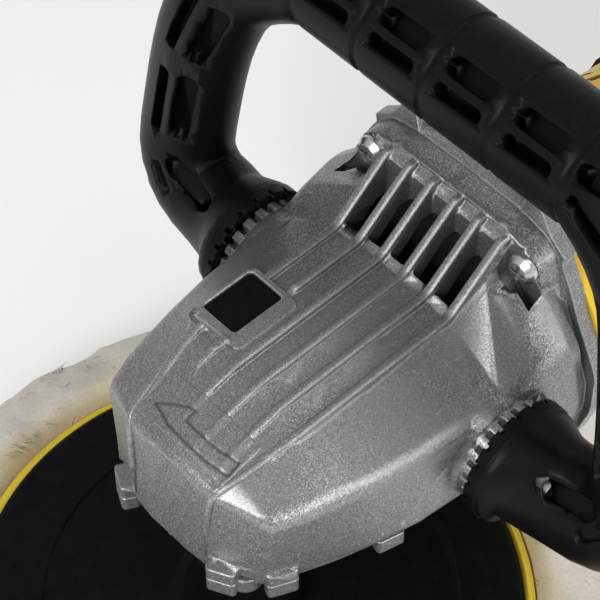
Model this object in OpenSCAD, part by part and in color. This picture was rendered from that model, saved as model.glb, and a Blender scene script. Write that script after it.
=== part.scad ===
// Rotary polisher: gear head, motor, rear handle, loop handle and wool pad.
// Millimetres. The spindle is the Z axis, the wool's working face is z = 0, the motor points to +Y.

/* [Pad] */
// Height of the backing plate's upper face above the working face
plate_top = 38; // [30:1:46]
// Backing plate radius
plate_r = 90; // [75:1:100]
// Outer radius of the wool pad
wool_r = 125; // [105:1:130]

/* [Gear head] */
// Height of the motor axis above the backing plate
axis_h = 83; // [80:1:88]
// Distance from the spindle to the loop handle's pivots
boss_y = 57; // [54:1:60]
// Gear chamber radius
chamber_r = 28.2; // [28:0.1:29]
// Teeth on the ring gear
gear_teeth = 38; // [38:1:38]
// Teeth on the pinion
pinion_teeth = 9; // [9:1:9]
// Pitch radius of the ring gear at the outer end of its teeth
gear_r = 26; // [25.5:0.5:26.5]
// Length of the teeth
tooth_l = 4.4; // [4:0.1:4.6]
// Width of a cooling rib
rib_w = 2.6; // [2:0.2:3.4]
// Distance between cooling ribs
rib_pitch = 9.56; // [9:0.1:10]
// Travel of the spindle lock
lock_travel = 4; // [3:0.5:5]

/* [Motor] */
// Front of the motor housing
flange_y = 97; // [96:1:98]
// Stator radius
stator_r = 40.5; // [38:0.5:41]
// Air gap between the stator and the armature
air_gap = 0.6; // [0.4:0.1:1]
// Number of fan blades
fan_blades = 16; // [12:1:20]

/* [Handles] */
// Backward lean of the loop handle in degrees
loop_lean = 15.5; // [10:0.5:20]
// Height of the loop's grip above the pivots
loop_h = 107; // [100:1:115]
// Radius of the loop's grip
loop_r = 18; // [16:0.5:19]
// Teeth on each pivot ring
ring_teeth = 20; // [16:1:24]
// Rear end of the rear handle
tail_y = 322; // [305:1:335]
// Wall thickness of the plastic shells
shell = 3; // [2.5:0.5:3.5]

/* [Fits] */
// Radial clearance of a turning or sliding fit
run = 0.08; // [0.05:0.01:0.1]
// Gap between pieces that move past one another
gap = 0.35; // [0.3:0.05:0.6]

/* [Hidden] */
$fn = 64;
axis_z = plate_top + axis_h;
gear_module = 2 * gear_r / gear_teeth;
pinion_r = gear_r * pinion_teeth / gear_teeth;
cone_a = atan(pinion_teeth / gear_teeth);
apex_l = gear_r / cos(cone_a);
lock_x = -15;
lock_y = 11;
lock_r = norm([lock_x, lock_y]);
lock_a = atan2(lock_y, lock_x);
screw_x = 31.7;
screw_h = 45;
button_x = -21;
button_y = 19.5;
boss_x = 50;
ring_x = 55.4;
flange_x = ring_x + gap;

// ---- shared shapes ----

// Replaces one corner of an outline by a short parabola that starts and ends a set distance from it.
function soft_corner(a, p, b, d, n) =
    let (t = min(d, norm(a - p) / 2.02, norm(b - p) / 2.02),
         s = p + (a - p) / norm(a - p) * t,
         e = p + (b - p) / norm(b - p) * t)
    [for (k = [0:n]) let (u = k / n) (1 - u) * (1 - u) * s + 2 * u * (1 - u) * p + u * u * e];

// Softens every corner of an outline.
function soft(pts, d, n = 3) =
    let (m = len(pts))
    [for (i = [0:m - 1]) each soft_corner(pts[(i + m - 1) % m], pts[i], pts[(i + 1) % m],
        is_list(d) ? d[i] : d, n)];

function mirrored(pts) = concat(pts, [for (i = [len(pts) - 1:-1:0]) if (abs(pts[i].x) > 0.01)
    [-pts[i].x, pts[i].y]]);

// Skins a list of closed rings that all have the same number of points.
module loft(rings) {
    m = len(rings[0]);
    n = len(rings);
    pts = [for (r = rings) each r];
    sides = [for (i = [0:n - 2], j = [0:m - 1]) let (k = (j + 1) % m)
        each [[i * m + j, i * m + k, (i + 1) * m + k], [i * m + j, (i + 1) * m + k, (i + 1) * m + j]]];
    caps = [[for (j = [m - 1:-1:0]) j], [for (j = [0:m - 1]) (n - 1) * m + j]];
    polyhedron(points = pts, faces = concat(sides, caps), convexity = 8);
}

// Puts a shape drawn along +Z onto the motor axis.
module on_motor(y = 0) translate([0, y, axis_z]) rotate([-90, 0, 0]) children();

// Draws a shape at both pivots of the loop handle, with +Z pointing outwards.
module at_pivots(x = 0) for (s = [-1, 1]) translate([s * x, boss_y, axis_z])
    rotate([0, s * 90, 0]) children();

module at_pad() translate([0, 0, plate_top]) children();

module tube(r_out, r_in, h) difference() {
    cylinder(r = r_out, h = h);
    translate([0, 0, -1]) cylinder(r = r_in, h = h + 2);
}

module slot2d(w, h, r) {
    square([w, h - 2 * r], center = true);
    square([w - 2 * r, h], center = true);
    for (x = [-1, 1], y = [-1, 1]) translate([x * (w / 2 - r), y * (h / 2 - r)]) circle(r, $fn = 24);
}

module slot_block(w, d, h, r) linear_extrude(h) slot2d(w, d, r);

// Round wire wound on a cylinder, pressed flat at neither end.
module coil(r, wire, h, turns) {
    steps = turns * 14;
    loft([for (i = [0:steps]) let (a = 360 * turns * i / steps, z = wire + (h - 2 * wire) * i / steps)
        [for (j = [5:-1:0]) let (q = r + wire * cos(j * 60))
            [q * cos(a), q * sin(a), z + wire * sin(j * 60)]]]);
}

// Pan head screw along -Z from the underside of its head, with a cross recess.
module pan_screw(r, l, head_r, head_h) {
    difference() {
        union() {
            translate([0, 0, head_h * 0.45]) cylinder(r1 = head_r, r2 = head_r * 0.72, h = head_h * 0.55);
            cylinder(r = head_r, h = head_h * 0.45);
            translate([0, 0, -l]) cylinder(r = r, h = l + 0.5);
        }
        for (a = [0, 90]) rotate(a) translate([-head_r * 0.55, -head_r * 0.12, head_h * 0.35])
            cube([head_r * 1.1, head_r * 0.24, head_h]);
    }
}

module ball_bearing(r_out, r_in, w, balls) {
    mid = (r_out + r_in) / 2;
    t = (r_out - r_in) * 0.27;
    difference() {
        union() {
            tube(r_out, r_out - t, w);
            tube(r_in + t, r_in, w);
            translate([0, 0, w * 0.2]) tube(r_out - t / 2, r_in + t / 2, w * 0.6);
        }
        for (z = [-1, w * 0.9]) translate([0, 0, z]) tube(mid + 0.3, mid - 0.3, w * 0.1 + 1);
    }
    for (i = [0:balls - 1]) rotate(i * 360 / balls) translate([mid, 0, w / 2]) sphere(d = w * 0.45, $fn = 24);
}

// One tooth of a bevel gear, tapering to the cone's tip. The flank lists half width and height in modules.
module bevel_tooth(flank) linear_extrude(tooth_l, scale = 1 - tooth_l / apex_l)
    polygon(gear_module * concat(flank, [for (i = [len(flank) - 1:-1:0]) [-flank[i].x, flank[i].y]]));

// ---- gear head ----

// One section of the casting across the motor axis. All heights are above the backing plate.
function head_ring(y, wt, zt, wc, zc, wm, zm, wb, zb, lean) =
    let (half = [[wb, zb], [wm, zm], [wc, zc], [wt, zt], [0, zt + 3.4]],
         pts = concat(half, [for (i = [3:-1:0]) [-half[i].x, half[i].y]]),
         r = soft(pts, [2, 3, 4.5, 2.2, 20, 2.2, 4.5, 3, 2], 3))
    [for (i = [0:len(r) - 1]) [r[i].x, y - lean * max(0, 110 - r[i].y) / 40, plate_top + r[i].y]];

module head_body() loft([
    head_ring(-29.2, 10, 106.3, 11, 104.6, 10.5, 80, 10, 70, 1.4),
    head_ring(-28.4, 16, 107.6, 17.4, 105.2, 16.8, 80, 16.2, 70, 1.4),
    head_ring(-27, 18.6, 108.6, 21, 106, 20, 80, 19.4, 70, 1.3),
    head_ring(-22, 20, 110.2, 34.6, 104.2, 32.6, 80, 31.4, 70, 0.9),
    head_ring(-20, 20.4, 110.8, 36.2, 103.9, 34.2, 80, 33, 70, 0.7),
    head_ring(-11, 22.2, 113.2, 39.7, 103.4, 38, 80, 37, 70, 0.3),
    head_ring(0, 24, 116, 42.2, 102.8, 41.6, 80, 41.2, 70, 0),
    head_ring(10, 24.4, 116.2, 44.4, 102.5, 44.8, 80, 45, 70, 0),
    head_ring(26, 24.6, 116.2, 47, 102, 48.3, 80, 49, 70, 0),
    head_ring(47, 24.8, 116.2, 48.8, 101.8, 50.4, 80, 51, 70, 0),
    head_ring(60, 25, 116.4, 50.2, 101.8, 52, 78, 50, 54, 0),
    head_ring(72, 26, 125.4, 52, 104, 54, 76, 46, 42, 0),
    head_ring(84, 28, 134, 53, 105, 55.4, 76, 42, 34, 0),
    head_ring(88, 28, 134, 53, 105, 55.4, 76, 42, 34, 0)]);

// Outline of the casting where it widens to the motor: in front, and at the flange.
flange_front = [[0, 138.8], [22, 138.2], [31, 136], [36.6, 131.4], [38.4, 124], [43, 112], [48.6, 99],
    [54, 84], [54, 73], [50, 56], [44, 40], [36.5, 33], [26, 29.5]];
flange_rear = [[0, 139.2], [24, 138.9], [33.6, 136], [39.8, 127.4], [44, 118.6], [48.2, 108.6], [53, 99],
    [57.2, 90], [57.2, 73], [52.4, 56], [45, 40], [37.5, 33], [26, 29.5]];

module flange_slab(y, h, pts) at_pad() translate([0, y, 0]) rotate([90, 0, 0]) linear_extrude(h)
    polygon(soft(mirrored(pts), 2.2, 2));

// Two raised tabs where the flange meets the motor.
module flange_tabs() for (s = [-1, 1]) translate([0, flange_y, plate_top]) rotate([90, 0, 0])
    linear_extrude(5) polygon([for (p = [[20, 134], [22.6, 145.2], [28.2, 145.2], [33.4, 136.6],
        [39.6, 131.6], [38, 122]]) [s * p.x, p.y]]);

// Front-to-back run of one rib: a round-topped bar that follows the roof and the slope of the vents.
function rib_ring(x, y, z, w, h) =
    let (r = soft([[-w / 2 - 0.5, -4], [w / 2 + 0.5, -4], [w / 2, h], [-w / 2, h]], [0.2, 0.2, 0.9, 0.9], 3))
    [for (i = [0:len(r) - 1]) [x + r[i].x, y, plate_top + z + r[i].y]];

function roof_z(x) = 116.2 + 3.1 * (1 - pow(x / 24.5, 2));

module rib(x, y0) {
    z = roof_z(x);
    front = y0 < 0 ? z - 0.26 * -y0 * 0.9 : z;
    top = 134.8 + 1.8 * (1 - pow(x / 24.5, 2));
    loft([
        rib_ring(x, y0 - 1.5, front - 1.6, rib_w - 0.6, 0.6),
        rib_ring(x, y0 + 1, front, rib_w - 0.3, 1.1),
        rib_ring(x, max(y0 + 2, 2), z, rib_w, 1.3),
        rib_ring(x, 58.5, z, rib_w, 1.5),
        rib_ring(x, 61.5, z + 0.9, rib_w, 1.9),
        rib_ring(x, 80.5, top - 1, rib_w, 2.2),
        rib_ring(x, 83.5, top, rib_w, 1.4),
        rib_ring(x, 87, top + 1, rib_w - 0.4, 0.4)]);
}

// Raised border of the roof from the nose to the vents.
module border(s) loft([
    rib_ring(s * 17.4, -27.2, 107.6, 2.2, 1.3),
    rib_ring(s * 18.8, -24, 109, 2.4, 1.3),
    rib_ring(s * 21.4, -11, 112.7, 2.4, 1.3),
    rib_ring(s * 23.4, -1.5, 115.3, 2.5, 1.4),
    rib_ring(s * 23.9, 4, 116.2, 2.6, 1.5),
    rib_ring(s * 23.9, 58.5, 116.4, 2.8, 1.7),
    rib_ring(s * 23.9, 61.5, 117.6, 2.8, 1.9),
    rib_ring(s * 23.9, 80.5, 133.8, 2.8, 2),
    rib_ring(s * 23.9, 86, 135.4, 2.4, 0.4)]);

module vent_block() translate([-24, 0, plate_top]) rotate([90, 0, 90]) linear_extrude(48)
    polygon(soft([[56, 105], [56, 115.2], [61, 116.6], [81.5, 134.6], [86, 137.9], [89, 138.6], [89, 105]],
        1.2, 2));

module pivot_ring() {
    cylinder(r1 = 24, r2 = 18.5, h = 9.5);
    difference() {
        translate([0, 0, 9]) cylinder(r = 17.4, h = 4.8);
        for (i = [0:ring_teeth - 1]) rotate((i + 0.5) * 360 / ring_teeth) translate([17.9, 0, 10.6])
            cylinder(r = 1.45, h = 8, $fn = 20);
        for (i = [0:ring_teeth - 1]) rotate((i + 0.5) * 360 / ring_teeth) translate([7.5, 0, 13.9])
            rotate([45, 0, 0]) translate([0, -0.8, -0.8]) cube([12, 1.6, 1.6]);
    }
}

module arrow() linear_extrude(30) polygon(soft([[-17, -18.2], [-6.6, -12.4], [-6.6, -15.9],
    [2, -16.6], [9, -16.2], [16.2, -14.6], [16.2, -18.6], [9, -20.3], [2, -20.8], [-6.6, -20.3],
    [-6.6, -22.6]], 0.5, 1));

module arrow_floor() loft([for (y = [-24, -11]) [for (p = [[-18, 0], [18, 0], [18, 30], [-18, 30]])
    [p.x, y, plate_top + 114.6 + (y + 11) * 0.29 + p.y]]]);

screw_recess = [[26, 123], [31, 115.6], [44.8, 102.6], [46, 108.6], [39.6, 118.4], [37.6, 126.6], [35.6, 132],
    [31, 134.4], [26, 134.4]];

module gear_housing() color([0.72, 0.72, 0.73]) difference() {
    union() {
        head_body();
        vent_block();
        flange_slab(92, 8, flange_front);
        flange_slab(flange_y, 5.2, flange_rear);
        flange_tabs();
        for (s = [-1, 1]) border(s);
        for (x = [-0.5, 0.5, 1.5]) rib(x * rib_pitch, -9);
        rib(-1.5 * rib_pitch, 33);
        rib_short();
        at_pad() translate([button_x + 2.2, 18.5, 100]) slot_block(20.4, 25, 18.6, 2);
        at_pad() translate([button_x + 2.2, 18.5, 112]) slot_block(22.6, 27.2, 4.6, 2.5);
        at_pivots(41.6) pivot_ring();
        lugs(70, 5);
    }
    // gear chamber, bearing seats and the way in from the motor
    at_pad() translate([0, 0, 60]) cylinder(r = chamber_r, h = 34);
    at_pad() translate([0, 0, 90]) cylinder(r = 13 + run, h = 14.6);
    on_motor(24) cylinder(r = 9.5, h = 20);
    on_motor(36) cylinder(r = 12 + run, h = 20);
    on_motor(47.5) cylinder(r = 12.6, h = 20);
    on_motor(56) cylinder(r = 20, h = 10);
    on_motor(64) cylinder(r1 = 31, r2 = 42.3, h = 12.1);
    on_motor(76) cylinder(r = 42.5, h = 30);
    // exhaust slots
    for (i = [-2:2]) at_pad() translate([i * rib_pitch, 71.6, 100])
        slot_block(rib_pitch - rib_w - 0.5, 18.4, 40, 1.2);
    // screw recesses on both sides of the vents
    for (s = [-1, 1]) at_pad() translate([0, 84, 0]) rotate([90, 0, 0]) linear_extrude(6)
        polygon([for (p = soft(screw_recess, 1.5, 2)) [s * p.x, p.y]]);
    for (s = [-1, 1], h = [-1, 1]) on_motor(70) translate([s * screw_x, -h * screw_h, 0]) {
        cylinder(r = 5.7, h = 14);
        cylinder(r = 2.5, h = 40);
    }
    // spindle lock
    at_pad() translate([button_x, button_y, 105.4]) slot_block(14.2, 19.7, 16, 1.6);
    at_pad() translate([-26.9, 8.6, 105.4]) cube([14, 21.8, 7]);
    at_pad() translate([lock_x, lock_y, 99]) cylinder(r = 4.7, h = 10.8);
    at_pad() translate([lock_x, lock_y, 85]) cylinder(r = 2.1 + run, h = 20);
    // pivot bolts, cover screws and the direction arrow
    at_pivots(30) cylinder(r = 4.1, h = 30);
    at_cover_screws() translate([0, 0, 60]) cylinder(r = 2.1, h = 26);
    intersection() {
        translate([0, 0, plate_top + 100]) arrow();
        arrow_floor();
    }
}

module rib_short() loft([
    rib_ring(-1.5 * rib_pitch, -8, 112.6, rib_w - 0.6, 0.6),
    rib_ring(-1.5 * rib_pitch, -5, 115.8, rib_w - 0.3, 1),
    rib_ring(-1.5 * rib_pitch, 1, 117.6, rib_w, 1.3),
    rib_ring(-1.5 * rib_pitch, 7, 118, rib_w, 1.3)]);

function cover_outline() = soft(mirrored([[0, -29.2], [15, -28.8], [18, -27.6], [30.6, -21.4], [35.4, -11],
    [39.6, 0], [43.2, 12], [46, 24], [45, 30], [40, 34], [39.4, 45.6]]), 1.5, 2);

module at_cover_screws() at_pad() for (s = [-1, 1], p = [[23.6, -21.6], [33, 24.5]])
    translate([s * p.x, p.y, 0]) children();

module lugs(z, h, d = 0) at_pad() for (s = [-1, 1]) {
    translate([s * (21.6 - d), -28.4 + d, z]) rotate(s * 27) slot_block(9.5, 6, h, 1.5);
    translate([s * (34 - d), -16.5, z]) rotate(s * 66) slot_block(10, 5, h, 1.5);
    translate([s * (44.4 - d), 17.5, z]) rotate(s * 76) slot_block(9.5, 4.6, h, 1.5);
}

module bearing_cover() color([0.68, 0.68, 0.69]) difference() {
    union() {
        at_pad() translate([0, 0, 67]) linear_extrude(3) polygon(cover_outline());
        at_pad() translate([0, 0, 64]) cylinder(r1 = 23.5, r2 = 26.5, h = 3.2);
        at_pad() translate([0, 0, 46]) cylinder(r = 21, h = 18.2);
        for (i = [0:7]) at_pad() rotate(i * 45 + 22.5) translate([20, -1.5, 52]) cube([5.4, 3, 15.4]);
        lugs(64, 5.7);
        at_cover_screws() translate([0, 0, 63.4]) cylinder(r = 5.6, h = 6);
    }
    at_pad() translate([0, 0, 40]) cylinder(r = 9.6, h = 40);
    at_pad() translate([0, 0, 54]) cylinder(r = 16 + run, h = 20);
    at_pad() translate([0, 0, 45]) cylinder(r = 13.5, h = 5);
    at_cover_screws() {
        translate([0, 0, 50]) cylinder(r = 2.2, h = 40);
        translate([0, 0, 60]) cylinder(r = 4.4, h = 5.4);
    }
}

module cover_screws() color([0.6, 0.6, 0.62]) at_cover_screws() translate([0, 0, 65.4]) rotate([180, 0, 0])
    pan_screw(2, 18, 4, 2);

module housing_screws() color([0.7, 0.7, 0.72]) for (s = [-1, 1], h = [-1, 1])
    translate([s * screw_x, 84, axis_z + h * screw_h]) rotate([90, 0, 0]) pan_screw(2.4, 26, 5.2, 3.6);

module lock_button() color([0.08, 0.08, 0.08]) difference() {
    union() {
        at_pad() translate([button_x, button_y, 109.6]) slot_block(13.5, 19, 8.2, 1.4);
        at_pad() translate([-26.5, 9, 109.6]) cube([13.2, 21, 2.4]);
    }
    at_pad() translate([lock_x, lock_y, 105]) cylinder(r = 1.5, h = 8);
}

module lock_pin() color([0.6, 0.6, 0.62]) {
    at_pad() translate([lock_x, lock_y, 75.1]) cylinder(r = 2.1, h = 34.4);
    at_pad() translate([lock_x, lock_y, 74.4]) cylinder(r1 = 1.5, r2 = 2.1, h = 0.71);
    at_pad() translate([lock_x, lock_y, 109]) cylinder(r = 1.45, h = 3.1);
}

module lock_spring() color([0.65, 0.65, 0.68]) at_pad() translate([lock_x, lock_y, 99.1])
    coil(3.6, 0.45, 10.3, 6);

// ---- spindle and gears ----

module spindle() color([0.6, 0.6, 0.62]) at_pad() {
    translate([0, 0, 5]) cylinder(r = 7, h = 35);
    translate([0, 0, 34.4]) cylinder(r = 11, h = 8);
    translate([0, 0, 42]) cylinder(r = 9, h = 11.6);
    translate([0, 0, 53.4]) cylinder(r = 7.5, h = 28);
    translate([0, 0, 81]) cylinder(r = 5.5, h = 23.6);
}

module ring_gear() color([0.5, 0.5, 0.52]) difference() {
    at_pad() union() {
        translate([0, 0, 65.6]) cylinder(r = 11.5, h = 14);
        translate([0, 0, 70.5]) cylinder(r = gear_r - 4.5, h = 2.6);
        rotate_extrude() polygon([[gear_r - tooth_l - 0.6, 70.5], [gear_r + 0.9, 70.5],
            [gear_r + 0.9, axis_h - (gear_r + 0.9) * tan(cone_a) - gear_module * 1.3],
            [gear_r - tooth_l - 0.6, axis_h - (gear_r - tooth_l - 0.6) * tan(cone_a) - gear_module * 1.3]]);
        for (i = [0:gear_teeth - 1]) rotate((i + 0.5) * 360 / gear_teeth + 90)
            translate([gear_r, 0, axis_h - pinion_r]) rotate([0, -90 + cone_a, 0]) rotate([0, 0, -90])
            bevel_tooth([[0.32, 0.95], [0.66, 0], [1.26, -1.65]]);
    }
    at_pad() translate([0, 0, 60]) cylinder(r = 7.5 + 0.02, h = 30);
    at_pad() for (i = [0:11]) rotate(lock_a + i * 30) translate([lock_r, 0, 60])
        cylinder(r = 2.4, h = 20, $fn = 32);
}

module pinion() color([0.45, 0.45, 0.48]) difference() {
    union() {
        on_motor(gear_r - tooth_l) cylinder(r1 = (pinion_r - gear_module * 1.15) * (1 - tooth_l / gear_r),
            r2 = pinion_r - gear_module * 1.15, h = tooth_l);
        on_motor(gear_r - 0.1) cylinder(r = pinion_r - gear_module * 1.2, h = 3);
        on_motor(gear_r + 0.9) cylinder(r = 6.2, h = 5.2);
        for (i = [0:pinion_teeth - 1]) on_motor(0) rotate(i * 360 / pinion_teeth + 90)
            translate([pinion_r, 0, gear_r]) rotate([0, -180 + cone_a, 0]) rotate([0, 0, 90])
            bevel_tooth([[0.19, 0.95], [0.47, 0.5], [0.66, 0], [0.62, -0.35], [0.44, -1.35]]);
    }
    on_motor(10) cylinder(r = 3 + 0.02, h = 40);
}

module upper_bearing() color([0.6, 0.6, 0.62]) at_pad() translate([0, 0, 93.6])
    ball_bearing(13, 5.5 + run, 10.6, 8);

module lower_bearing() color([0.6, 0.6, 0.62]) at_pad() translate([0, 0, 54.2])
    ball_bearing(16, 7.5 + run, 10, 8);

module dust_seal() color([0.2, 0.2, 0.2]) at_pad() translate([0, 0, 46.2]) tube(13.45, 9 + gap, 3.6);

module circlip() color([0.4, 0.4, 0.42]) at_pad() translate([0, 0, 80]) difference() {
    tube(9.4, 7.52, 1);
    translate([0, -1.5, -1]) cube([12, 3, 3]);
}

// ---- motor ----

motor_profile = [[97, 56], [108, 55.4], [113, 53.4], [120, 48.5], [126, 46.2], [150, 44.6], [156, 40.5],
    [164, 33.4], [173, 31], [183, 30.4]];

module motor_housing() color([0.86, 0.7, 0.12]) difference() {
    union() {
        on_motor() rotate_extrude($fn = 96)
            polygon(concat([[0, flange_y]], [for (p = motor_profile) [p.y, p.x]], [[0, 183]]));
        for (s = [-1, 1], h = [-1, 1]) on_motor(flange_y) translate([s * screw_x, -h * screw_h, 0])
            cylinder(r = 6.5, h = 14.6);
        for (i = [0:7]) on_motor(118) rotate(i * 45 + 22.5) translate([42.5, -2.2, 0]) cube([5.4, 4.4, 30.7]);
    }
    on_motor(86) cylinder(r = 45, h = 21);
    on_motor(106.9) cylinder(r1 = 44.8, r2 = stator_r - 1, h = 6);
    on_motor(112) cylinder(r = stator_r + run, h = 40);
    on_motor(151.9) cylinder(r1 = stator_r - 0.5, r2 = 27.4, h = 10);
    on_motor(161) cylinder(r = 28, h = 14);
    on_motor(170) cylinder(r = 13 + run, h = 20);
    for (s = [-1, 1], h = [-1, 1]) on_motor(80) translate([s * screw_x, -h * screw_h, 0])
        cylinder(r = 2.5, h = 32);
    // brush openings
    for (s = [-1, 1]) translate([0, 167, axis_z]) rotate([0, s * 90, 0]) translate([0, 0, 20])
        cylinder(r = 6.6, h = 20);
    // air inlets above and below the brushes
    for (a = [50, 130, 230, 310], i = [-1:1]) on_motor(163.5) rotate(a + i * 13) translate([20, -1.4, 0])
        cube([20, 2.8, 8]);
    // openings of the rear wall that let the air and the leads through
    for (a = [45:90:315]) on_motor(170) rotate(a) translate([21, 0, 0]) cylinder(r = 5, h = 20);
}

module armature_shaft() color([0.62, 0.62, 0.64]) {
    on_motor(22.8) cylinder(r = 3, h = 14);
    on_motor(34.4) cylinder(r = 5.5, h = 66);
    on_motor(100) cylinder(r = 6.5, h = 66);
    on_motor(165.9) cylinder(r = 4, h = 18);
}

module armature_core() color([0.35, 0.33, 0.32]) difference() {
    union() {
        on_motor(114) cylinder(r = 23.6, h = 34);
        on_motor(109.4) cylinder(r1 = 15, r2 = 20, h = 4.7);
        on_motor(147.9) cylinder(r1 = 20, r2 = 13.4, h = 4.8);
    }
    on_motor(100) cylinder(r = 6.52, h = 60);
    for (i = [0:11]) on_motor(113) rotate(i * 30) translate([22, -0.7, 0]) cube([3, 1.4, 36]);
}

module commutator() color([0.72, 0.45, 0.25]) difference() {
    on_motor(158) cylinder(r = 12.2, h = 7.6);
    on_motor(150) cylinder(r = 6.52, h = 30);
    for (i = [0:23]) on_motor(157) rotate(i * 15) translate([11.2, -0.25, 0]) cube([2, 0.5, 12]);
}

module fan() color([0.16, 0.19, 0.18]) difference() {
    union() {
        on_motor(81.6) cylinder(r = 11, h = 16);
        on_motor(84) cylinder(r = 40.4, h = 1.8);
        on_motor(81.6) cylinder(r1 = 16, r2 = 22, h = 2.6);
        for (i = [0:fan_blades - 1]) on_motor(85.5) rotate(i * 360 / fan_blades)
            translate([18, 0, 0]) rotate(24) translate([0, -0.8, 0]) cube([26, 1.6, 9.6]);
    }
    on_motor(70) cylinder(r = 5.52, h = 40);
    on_motor(70) tube(70, 41, 40);
}

module fan_baffle() color([0.3, 0.33, 0.3]) difference() {
    union() {
        on_motor(97.2) tube(44.9, 24, 2);
        on_motor(98) tube(44.9, 43, 8.6);
        on_motor(96.2) tube(27, 24, 2);
    }
    for (a = [0:30:330]) on_motor(90) rotate(a) translate([35, 0, 0]) cylinder(r = 1.6, h = 12, $fn = 24);
}

module front_bearing() color([0.6, 0.6, 0.62]) on_motor(36.1) ball_bearing(12, 5.5 + run, 9, 8);

module rear_bearing() color([0.6, 0.6, 0.62]) on_motor(171.6) ball_bearing(11, 4 + run, 7, 7);

module bearing_sleeve() color([0.12, 0.12, 0.12]) on_motor(171.2) tube(13, 11.02, 8);

module stator_core() color([0.42, 0.42, 0.44]) difference() {
    on_motor(114) cylinder(r = stator_r, h = 34);
    on_motor(100) cylinder(r = 23.6 + air_gap, h = 60);
    for (a = [0, 180]) on_motor(110) rotate(a) linear_extrude(50)
        polygon(concat([for (q = [-60:10:60]) [36 * cos(q), 36 * sin(q)]],
            [for (q = [46:-8:-50]) [25.6 * cos(q), 25.6 * sin(q)]]));
}

module field_coils() color([0.55, 0.28, 0.14]) for (a = [90, 270]) on_motor(108.6) rotate(a) difference() {
    linear_extrude(45) polygon(concat([for (q = [-66:6:66]) [35 * cos(q), 35 * sin(q)]],
        [for (q = [66:-6:-66]) [27 * cos(q), 27 * sin(q)]]));
    translate([0, 0, 5.2]) linear_extrude(34.9)
        polygon(concat([[0, 0]], [for (q = [-70:5:70]) [60 * cos(q), 60 * sin(q)]]));
}

module at_brushes(x) for (s = [-1, 1]) translate([s * x, 167, axis_z]) rotate([0, s * 90, 0]) children();

module brush_holders() color([0.66, 0.52, 0.24]) at_brushes(13.4) difference() {
    cylinder(r = 6.4, h = 17.6);
    translate([0, 0, -1]) slot_block(6.7, 5.7, 30, 0.4);
    translate([0, 0, 14]) cylinder(r = 5.2, h = 8);
}

module carbon_brushes() color([0.13, 0.13, 0.13]) at_brushes(12.6) slot_block(6.4, 5.4, 9, 0.3);

module brush_springs() color([0.65, 0.65, 0.66]) at_brushes(21.7) coil(2, 0.3, 6.2, 5);

module brush_caps() color([0.1, 0.1, 0.1]) at_brushes(28) difference() {
    union() {
        cylinder(r = 5, h = 2.9);
        translate([0, 0, 3.1]) cylinder(r = 6.3, h = 1.8);
        translate([0, 0, 2.5]) cylinder(r = 5, h = 2);
    }
    translate([-7, -0.7, 3.7]) cube([14, 1.4, 3]);
}

// ---- rear handle ----

// Path of the rear handle: distance along the motor axis, height of its middle, half width and half height.
handle_path = [[183, 83, 30.2, 30.2], [189, 82.6, 30.4, 30.4], [198, 81.5, 28.6, 30], [210, 79.5, 25.2, 29.2],
    [224, 77.6, 22.8, 27.6], [242, 76, 21.6, 25.8], [262, 74.4, 21.6, 25.4], [284, 72.4, 22.4, 26],
    [300, 70.6, 23.6, 27.6], [312, 69.2, 24, 28.2], [319, 68.4, 22.4, 26.6], [322, 68, 19.6, 23.6]];

function handle_ring(p, cut, k = 36) = [for (i = [0:k - 1]) let (a = i * 360 / k, c = cos(a), s = sin(a),
    q = pow(pow(abs(c), 2.5) + pow(abs(s), 2.5), -1 / 2.5))
    [(p[2] - cut) * q * c, p[0], plate_top + p[1] + (p[3] - cut) * q * s]];

module handle_body(cut = 0) {
    n = len(handle_path);
    loft([for (i = [0:n - 1]) let (p = handle_path[i])
        handle_ring([i < n - 2 ? p[0] : p[0] - cut, p[1], p[2], p[3]], cut)]);
}

trigger_y = 214;
trigger_h = 61.5;
switch_h = 66.4;
dial_y = 288;
dial_h = 87.6;
gland_h = 68;
handle_screw_at = [[192, 104], [205, 62], [252, 95], [309, 88], [309, 50]];

// Puts a shape drawn along +Z across the rear handle, its start at x and its middle at y and a height.
module across(x, y, h) translate([x, y, plate_top + h]) rotate([0, 90, 0]) children();

module handle_shell() difference() {
    union() {
        difference() {
            handle_body();
            handle_body(shell);
            on_motor(180) cylinder(r = 27, h = 6);
        }
        intersection() {
            handle_body(0.6);
            union() {
                for (p = handle_screw_at) across(-30, p.x, p.y) cylinder(r = 4.4, h = 60);
                translate([-40, 314, plate_top + 30]) cube([80, 4, 80]);
                for (x = [-30, 12]) across(x, trigger_y, trigger_h) cylinder(r = 4.6, h = 18);
                for (s = [-1, 1]) at_pad() translate([s * 8.6, 296, 40]) cylinder(r = 3.6, h = 18.38);
                for (s = [-1, 1]) translate([s > 0 ? 9.2 : -30, 224, plate_top + 66]) cube([20.8, 42, 3]);
            }
        }
    }
    // trigger opening, lock-on opening, dial opening and the cord gland's seat
    at_pad() translate([0, 243, 30]) slot_block(15.2, 66, 40, 2);
    across(-40, 238, 78) cylinder(r = 5.4, h = 30);
    at_pad() translate([0, dial_y, 86]) slot_block(9, 27, 40, 1.5);
    at_gland(309) cylinder(r = 8.6, h = 30);
    for (p = handle_screw_at) across(-40, p.x, p.y) {
        cylinder(r = 1.9, h = 70);
        translate([0, 0, 56]) cylinder(r = 3.8, h = 24);
    }
    across(-40, trigger_y, trigger_h) cylinder(r = 2.05, h = 80);
    for (s = [-1, 1]) at_pad() translate([s * 8.6, 296, 48]) cylinder(r = 1.65, h = 12);
    // air inlets of the front part
    for (s = [-1, 1], i = [0:3]) at_pad() translate([s * 28, 192 + i * 5.4, 78]) rotate([0, 90, 0])
        translate([0, 0, -8]) slot_block(22, 2.6, 16, 1.2);
}

module handle_left() color([0.1, 0.1, 0.1]) intersection() {
    handle_shell();
    translate([-60, 170, plate_top]) cube([59.98, 170, 130]);
}

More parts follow.
